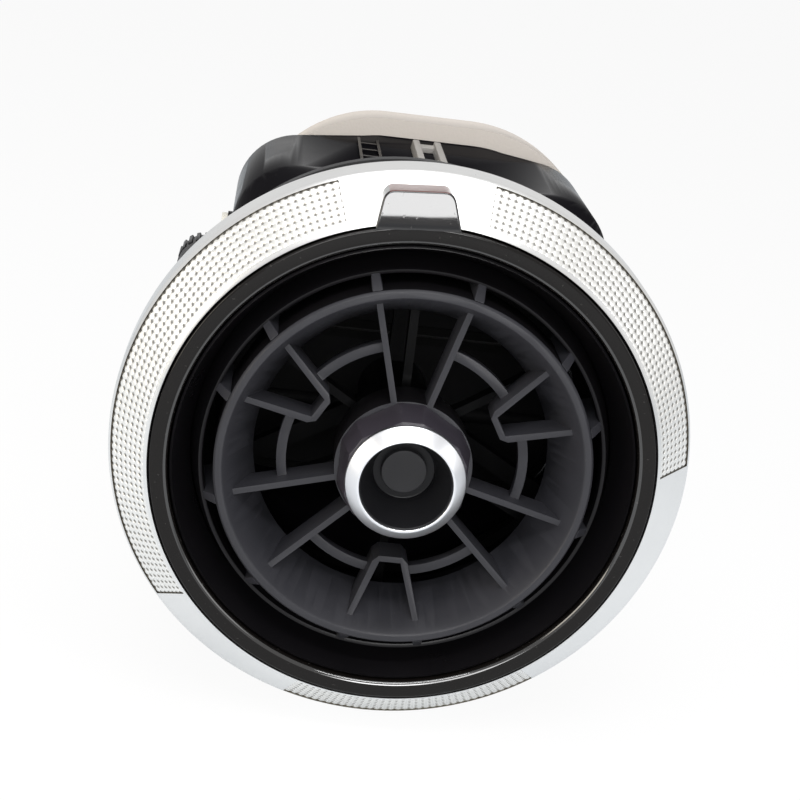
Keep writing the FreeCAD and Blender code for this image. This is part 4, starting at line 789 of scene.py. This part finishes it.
@dataclass
class Nozzle:
    """Ball shell of the nozzle with its twelve fins, its centre tube, the vane wheel and the collar."""

    ball: float = 38.0
    centre: float = 8.0
    half: float = 12.6
    wall: float = 1.5
    edge: float = 0.6
    edge_depth: float = 2.5
    edge_round: float = 0.15
    arc_steps: int = 24
    wheel: float = 33.2
    wheel_skin: float = 0.2
    wheel_edge: float = 0.22
    hub: float = 12.3
    collar_edge: float = 0.3
    tube_inner: float = 8.6
    tube_rear: float = 12.4
    tube_relief: float = 9.1
    tube_search: float = 0.05
    fin_gap: float = 0.05
    fin_set_back: float = 0.3
    fin_rise: float = 3.3
    fin_root: float = 1.9
    fin_tip: float = 1.1
    fin_edge: float = 0.2
    fin_pairs: tuple[Point, ...] = ((90.0, 15.0), (30.0, 11.5))

    def reach(self, radius: float, depth: float) -> float:
        """Radius at a depth of a sphere round the ball's centre."""
        return math.sqrt(radius ** 2 - (depth - self.centre) ** 2)

    def relieve(self, piece: bpy.types.Object) -> None:
        """Opens the rear edge of the centre tube, as room for the fork's prongs.

        Args:
            piece: the copy of the centre tube.
        """
        for vertex in piece.data.vertices:
            away = math.hypot(vertex.co.x, vertex.co.z) / MM
            off = max(abs(away - self.tube_inner), abs(vertex.co.y / MM - self.tube_rear))
            if off < self.tube_search:
                vertex.co.x *= self.tube_relief / away
                vertex.co.z *= self.tube_relief / away

    def arc(self, radius: float, start: float, end: float) -> list[Point]:
        """Points of a sphere's section between two depths."""
        depths = [start + (end - start) * step / self.arc_steps for step in range(self.arc_steps + 1)]
        return [(self.reach(radius, depth), depth) for depth in depths]

    def shell(self) -> bpy.types.Object:
        """Ball shell, with a thin rounded front edge."""
        front, rear = self.centre - self.half, self.centre + self.half
        outline = self.arc(self.ball, front, rear)
        outline += self.arc(self.ball - self.wall, rear, front + self.edge_depth)
        rim = self.reach(self.ball, front)
        outline.append((rim - self.edge, front + self.edge_round))
        outline.append((rim - self.edge / 2, front))
        return piece_from(lathe(outline, 160), "ball_shell", Tint.SHELL_AND_PAINTED_SHADE, 40)

    def fins(self) -> bpy.types.Object:
        """Twelve fins between the shell and the vane wheel, in three sectors of two pairs."""
        mesh = bmesh.new()
        for sector in range(3):
            for middle, half in self.fin_pairs:
                for side in (-1, 1):
                    self.fin(mesh, 120 * sector + middle + side * half)
        bmesh.ops.recalc_face_normals(mesh, faces=mesh.faces[:])
        return piece_from(mesh, "shell_fins", Tint.VANES, 25, self.fin_edge)

    def vanes(self, node: bpy.types.Object) -> bpy.types.Object:
        """Vane wheel; the outer walls of the hub and the rim have the shell's dark finish as painted shade.
        """
        piece = eased(node, "vanes", Tint.VANES, self.wheel_edge)
        dress(piece, Tint.VANES, Tint.SHELL_AND_PAINTED_SHADE)
        for face in piece.data.polygons:
            away = Vector((face.center.x, 0, face.center.z))
            outward = face.normal.dot(away.normalized()) > 0.9
            on_rim = away.length > (self.wheel - self.wheel_skin) * MM
            # Outward faces of the rim and the hub: painted shade.
            face.material_index = int(outward and (on_rim or away.length < self.hub * MM))
        return piece

    def build(self, nodes: dict[str, bpy.types.Object]) -> None:
        """Builds the pieces.

        Args:
            nodes: the CAD nodes by name.
        """
        settle(self.shell(), "nozzle", ["nozzle_shell"])
        settle(self.fins(), "nozzle", ["nozzle_shell"])
        # The centre tube takes the near-black inside finish: partly its own dark plastic, partly painted
        # shade.
        tube = eased(nodes["nozzle_guide"], "centre_tube", Tint.INSIDE_BLACK_AND_PAINTED_SHADE)
        self.relieve(tube)
        settle(tube, "nozzle", ["nozzle_guide"])
        settle(self.vanes(nodes["vane_wheel"]), "insert", ["vane_wheel"])
        collar = eased(nodes["hub_collar"], "collar", Tint.COLLAR, self.collar_edge)
        settle(collar, "insert", ["hub_collar"])

    def fin(self, mesh: bmesh.types.BMesh, angle: float) -> None:
        """Adds one fin, thicker at the wheel than at the shell.

        Args:
            mesh: the fins so far.
            angle: its place round the axis, in degrees from +X towards +Z.
        """
        front = self.centre - self.half + self.fin_set_back
        root = self.wheel + self.fin_gap
        section = [(root, front - self.fin_rise), (self.reach(self.ball, front) - self.edge / 3, front),
                   (self.reach(self.ball - self.wall / 2, self.centre), self.centre), (root, self.centre)]
        corners = [mesh.verts.new((radius * MM, depth * MM, 0.0)) for radius, depth in section]
        plate = mesh.faces.new(corners)
        grown = bmesh.ops.extrude_face_region(mesh, geom=[plate])
        others = of_kind(grown["geom"], bmesh.types.BMVert)
        for half, group in ((-0.5, corners), (0.5, others)):
            for vertex in group:
                share = (vertex.co.x / MM - root) / (self.ball - root)
                vertex.co.z = half * (self.fin_root + (self.fin_tip - self.fin_root) * share) * MM
        turn = Matrix.Rotation(math.radians(-angle), 4, "Y")
        bmesh.ops.transform(mesh, matrix=turn, verts=corners + others)


@dataclass
class CentreKnob:
    """Bright ring, cup and disc of the knob."""

    inner: float = 8.1
    outer: float = 10.5
    rear: float = 11.5
    step: float = 12.2
    front: float = 14.2
    throat: float = 5.5
    floor: float = 7.3
    plate: float = 1.2
    bore: float = 9.0
    base: float = 5.0
    fit: float = 0.05
    lip_width: float = 0.35
    cup_edge: float = 0.25
    cup_set_back: float = 0.6
    disc: float = 4.0
    disc_hollow: tuple[Point, ...] = ((0.0, 0.25), (0.55, 0.12), (1.0, 0.0))

    def ring(self) -> bpy.types.Object:
        """Bright ring, a narrow lip and a cone."""
        outline = [
            (self.inner, -self.rear),
            (self.inner, -self.front),
            (self.inner + self.lip_width, -self.front),
            (self.outer, -self.step),
            (self.outer, -self.rear),
        ]
        radii = (0, 0.15, 0.3, 0.25, 0.1)
        return piece_from(lathe(rounded(outline, radii), 160), "knob_ring", Tint.CHROME, 40)

    def cup(self) -> bpy.types.Object:
        """Cup inside the ring, with a narrower throat at its floor."""
        outline = [
            (self.inner - self.cup_edge, self.cup_set_back - self.front),
            (self.inner - self.fit, self.cup_set_back - self.front),
            (self.inner - self.fit, self.fit - self.rear),
            (self.bore - self.fit, self.fit - self.rear),
            (self.bore - self.fit, -self.base),
            (0.0, -self.base),
            (0.0, self.plate - self.floor),
            (self.throat, self.plate - self.floor),
            (self.throat, -self.floor),
        ]
        radii = (0, 0, 0, 0, 0, 0, 0, 0.3, 0.6)
        return piece_from(lathe(rounded(outline, radii), 128), "cup", Tint.CUP, 40)

    def button(self) -> bpy.types.Object:
        """Disc on the cup's floor, slightly hollow."""
        outline = [(self.disc * share, depth - self.floor) for share, depth in self.disc_hollow]
        outline += [(self.disc, self.plate - self.floor), (0.0, self.plate - self.floor)]
        return piece_from(lathe(rounded(outline, (0, 0.5, 0.25, 0, 0)), 96), "disc", Tint.DISC, 50)

    def build(self) -> None:
        """Builds the three pieces."""
        settle(self.ring(), "insert", ["knob_trim_ring"])
        settle(self.cup(), "insert", ["knob_cup"])
        settle(self.button(), "insert", ["knob_disc"])


@dataclass
class RearDuct:
    """Rear duct, its foam collar, the rails on top and the damper's gear, from the CAD nodes' shapes."""

    seat_front: float = 80.6
    seat_full: float = 84.5
    left: float = 0.88
    right: float = 0.93
    top: float = 0.965
    rail_shift: float = 1.5
    rail_edge: float = 0.2
    stub: float = 0.87
    tooth_edge: float = 0.28

    def drawn_in(self, piece: bpy.types.Object) -> None:
        """Draws in the end of the duct behind the chamber.

        Args:
            piece: the copy of the duct or the foam.
        """
        for vertex in piece.data.vertices:
            depth = vertex.co.y / MM
            share = min(max((depth - self.seat_front) / (self.seat_full - self.seat_front), 0.0), 1.0)
            side = self.left if vertex.co.x < 0 else self.right
            vertex.co.x *= 1 + (side - 1) * share
            if vertex.co.z > 0:
                vertex.co.z *= 1 + (self.top - 1) * share

    def worn(self, piece: bpy.types.Object) -> None:
        """Cuts the teeth back to blunt stubs.

        Args:
            piece: the copy of the damper's gear.
        """
        places = [vertex.co for vertex in piece.data.vertices]
        across, up = [place.x for place in places], [place.z for place in places]
        axis = Vector(((min(across) + max(across)) / 2, 0, (min(up) + max(up)) / 2))
        limit = self.stub * max(math.hypot(place.x - axis.x, place.z - axis.z) for place in places)
        for place in places:
            away = math.hypot(place.x - axis.x, place.z - axis.z)
            if away > limit:
                place.x = axis.x + (place.x - axis.x) * limit / away
                place.z = axis.z + (place.z - axis.z) * limit / away

    def build(self, nodes: dict[str, bpy.types.Object]) -> None:
        """Builds the pieces.

        Args:
            nodes: the CAD nodes by name.
        """
        duct = eased(nodes["rear_duct"], "duct", Tint.DUCT)
        foam = eased(nodes["duct_foam"], "foam_collar", Tint.FOAM)
        for piece in (duct, foam):
            self.drawn_in(piece)
        settle(duct, "housing", ["rear_duct"])
        settle(foam, "housing", ["duct_foam"])
        rails = eased(nodes["top_rails"], "rails", Tint.RAIL, self.rail_edge)
        rails.data.transform(Matrix.Translation((self.rail_shift * MM, 0, 0)))
        settle(rails, "housing", ["top_rails"])
        gear = eased(nodes["damper_gear"], "damper_pinion", Tint.GEAR, self.tooth_edge)
        self.worn(gear)
        settle(gear, "damper", ["damper_gear"])


@dataclass(frozen=True)
class Lamp:
    """Soft rectangular lamp aimed at a point."""

    name: str
    place: Triple
    target: Triple
    size: Point
    power: float
    colour: Colour = (1.0, 1.0, 1.0)

    def build(self) -> None:
        """Builds the lamp."""
        data = bpy.data.lights.new(self.name, "AREA")
        data.shape = "RECTANGLE"
        data.size, data.size_y = self.size
        data.energy = self.power
        data.color = self.colour
        lamp = bpy.data.objects.new(self.name, data)
        place = Vector(self.place)
        aim = (Vector(self.target) - place).to_track_quat("-Z", "Y").to_matrix().to_4x4()
        lamp.matrix_world = Matrix.Translation(place) @ aim
        lamp.visible_camera = False
        bpy.context.scene.collection.objects.link(lamp)


@dataclass
class Studio:
    """Camera, lamps, floor and background."""

    camera_place: Triple = (-0.02940, -0.27765, 0.10974)
    camera_right: Triple = (0.99034, -0.0531, 0.12811)
    camera_up: Triple = (-0.10233, 0.34358, 0.93354)
    lens: float = 75.6
    sensor: float = 36.0
    near: float = 0.01
    floor_depth: float = -0.0545
    floor_reach: float = 3.0
    floor_colour: Colour = (0.9, 0.9, 0.9)
    mirrored_tone: Colour = (0.90, 0.95, 1.0)
    seen_share: float = 0.93
    mirrored_share: float = 0.6
    background: Colour = (0.8, 0.8, 0.8)
    background_light: float = 0.25
    lamps: tuple[Lamp, ...] = (
        Lamp("TopPanel", (-0.02, -0.08, 0.62), (0.0, 0.03, 0.0), (0.5, 0.4), 2.2),
        Lamp("FrontPanel", (-0.05, -0.62, 0.20), (0.0, 0.0, 0.0), (0.34, 0.24), 2.0),
        Lamp("LeftPanel", (-0.55, -0.25, 0.15), (0.0, 0.0, 0.0), (0.3, 0.3), 1.3, (1.0, 0.92, 0.78)),
        Lamp("RightPanel", (0.55, -0.25, 0.20), (0.0, 0.0, 0.0), (0.3, 0.3), 0.5),
        Lamp("EdgeStrip", (0.0, -0.32, 0.46), (0.0, 0.0, 0.0), (0.5, 0.035), 1.6),
        Lamp("TabGlow", (0.047, -0.50, 0.137), (0.0, -0.008, 0.047), (0.14, 0.13), 0.45),
    )

    def build(self) -> None:
        """Builds the studio."""
        bpy.context.scene.view_settings.view_transform = "Standard"
        self.camera()
        for lamp in self.lamps:
            lamp.build()
        self.floor()
        self.world()

    def camera(self) -> None:
        """Camera of the photograph's view."""
        data = bpy.data.cameras.new("Camera")
        data.lens = self.lens
        data.sensor_width = self.sensor
        data.clip_start = self.near
        camera = bpy.data.objects.new("Camera", data)
        bpy.context.scene.collection.objects.link(camera)
        right, up = Vector(self.camera_right).normalized(), Vector(self.camera_up).normalized()
        back = right.cross(up).normalized()
        up = back.cross(right).normalized()
        turn = Matrix((right, up, back)).transposed().to_4x4()
        camera.matrix_world = Matrix.Translation(self.camera_place) @ turn
        bpy.context.scene.camera = camera

    def floor(self) -> None:
        """Pale floor, nearly white to the camera, that keeps the vent's shadow."""
        mesh = bmesh.new()
        bmesh.ops.create_grid(mesh, x_segments=1, y_segments=1, size=self.floor_reach)
        bmesh.ops.translate(mesh, verts=mesh.verts[:], vec=(0, 0, self.floor_depth))
        data = bpy.data.meshes.new("Floor")
        mesh.to_mesh(data)
        mesh.free()
        floor = bpy.data.objects.new("Floor", data)
        bpy.context.scene.collection.objects.link(floor)
        shader = Shader.named("floor_white")
        seen, mirrored = shader.ray("Is Camera Ray"), shader.ray("Is Glossy Ray")
        diffuse = shader.node("ShaderNodeBsdfDiffuse", None, {"Color": (*self.floor_colour, 1.0)})
        tone = shader.mix(seen, self.mirrored_tone, (1.0, 1.0, 1.0))
        white = shader.node("ShaderNodeEmission", None, {"Color": tone, "Strength": 1.0})
        share = seen * self.seen_share + mirrored * self.mirrored_share
        both = shader.node("ShaderNodeMixShader", None, {0: share, 1: diffuse, 2: white})
        shader.end("ShaderNodeOutputMaterial", both)
        data.materials.append(shader.owner)

    def world(self) -> None:
        """Pale background, full for the camera and in reflections, that lights the vent softly."""
        world = bpy.data.worlds.new("White")
        bpy.context.scene.world = world
        shader = Shader(world)
        plain = shader.ray("Is Camera Ray").larger(shader.ray("Is Glossy Ray"))
        strength = plain * (1 - self.background_light) + self.background_light
        colour = (*self.background, 1.0)
        shader.end("ShaderNodeOutputWorld",
                   shader.node("ShaderNodeBackground", None, {"Color": colour, "Strength": strength}))


# The inner parts take the near-black inside finish: partly their own dark plastic, partly painted shade.
NODE_TINTS: dict[str, Tint] = {
    "knurled_ring": Tint.SILVER, "bezel_ring": Tint.PIANO, "drive_ring": Tint.HOUSING,
    "outer_sleeve": Tint.HOUSING, "socket_ring": Tint.FUNNEL, "inner_barrel": Tint.INSIDE_BLACK_AND_PAINTED_SHADE,
    "pivot_fork": Tint.INSIDE_BLACK_AND_PAINTED_SHADE, "nozzle_shell": Tint.SHELL_AND_PAINTED_SHADE, "nozzle_guide": Tint.INSIDE_BLACK_AND_PAINTED_SHADE,
    "cardan_cross": Tint.INSIDE_BLACK_AND_PAINTED_SHADE, "vane_wheel": Tint.VANES, "hub_collar": Tint.COLLAR,
    "knob_trim_ring": Tint.CHROME, "knob_cup": Tint.CUP, "knob_disc": Tint.DISC,
    "rear_duct": Tint.DUCT, "duct_foam": Tint.FOAM, "top_rails": Tint.RAIL,
    "upper_flap": Tint.FLAP, "lower_flap": Tint.FLAP, "upper_flap_seal": Tint.SEAL,
    "lower_flap_seal": Tint.SEAL, "upper_flap_gear": Tint.ACETAL, "lower_flap_gear": Tint.ACETAL,
    "cam_slide": Tint.ACETAL, "follower_pin": Tint.SCREW, "damper_body": Tint.HOUSING,
    "damper_gear": Tint.GEAR, "panel_clips": Tint.SPRING, "housing_screws": Tint.SCREW,
    "flap_bushes": Tint.ACETAL,
}


def main() -> None:
    """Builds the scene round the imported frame."""
    logging.basicConfig(level=logging.INFO, format="%(message)s")
    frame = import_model()
    for name, node in frame["nodes"].items():
        dress(node, NODE_TINTS[name])
        LOG.info("%s dressed", name)
    SilverRing().build()
    GlossBezel().build()
    Nozzle().build(frame["nodes"])
    CentreKnob().build()
    RearDuct().build(frame["nodes"])
    Studio().build()


if __name__ == "__main__":
    main()
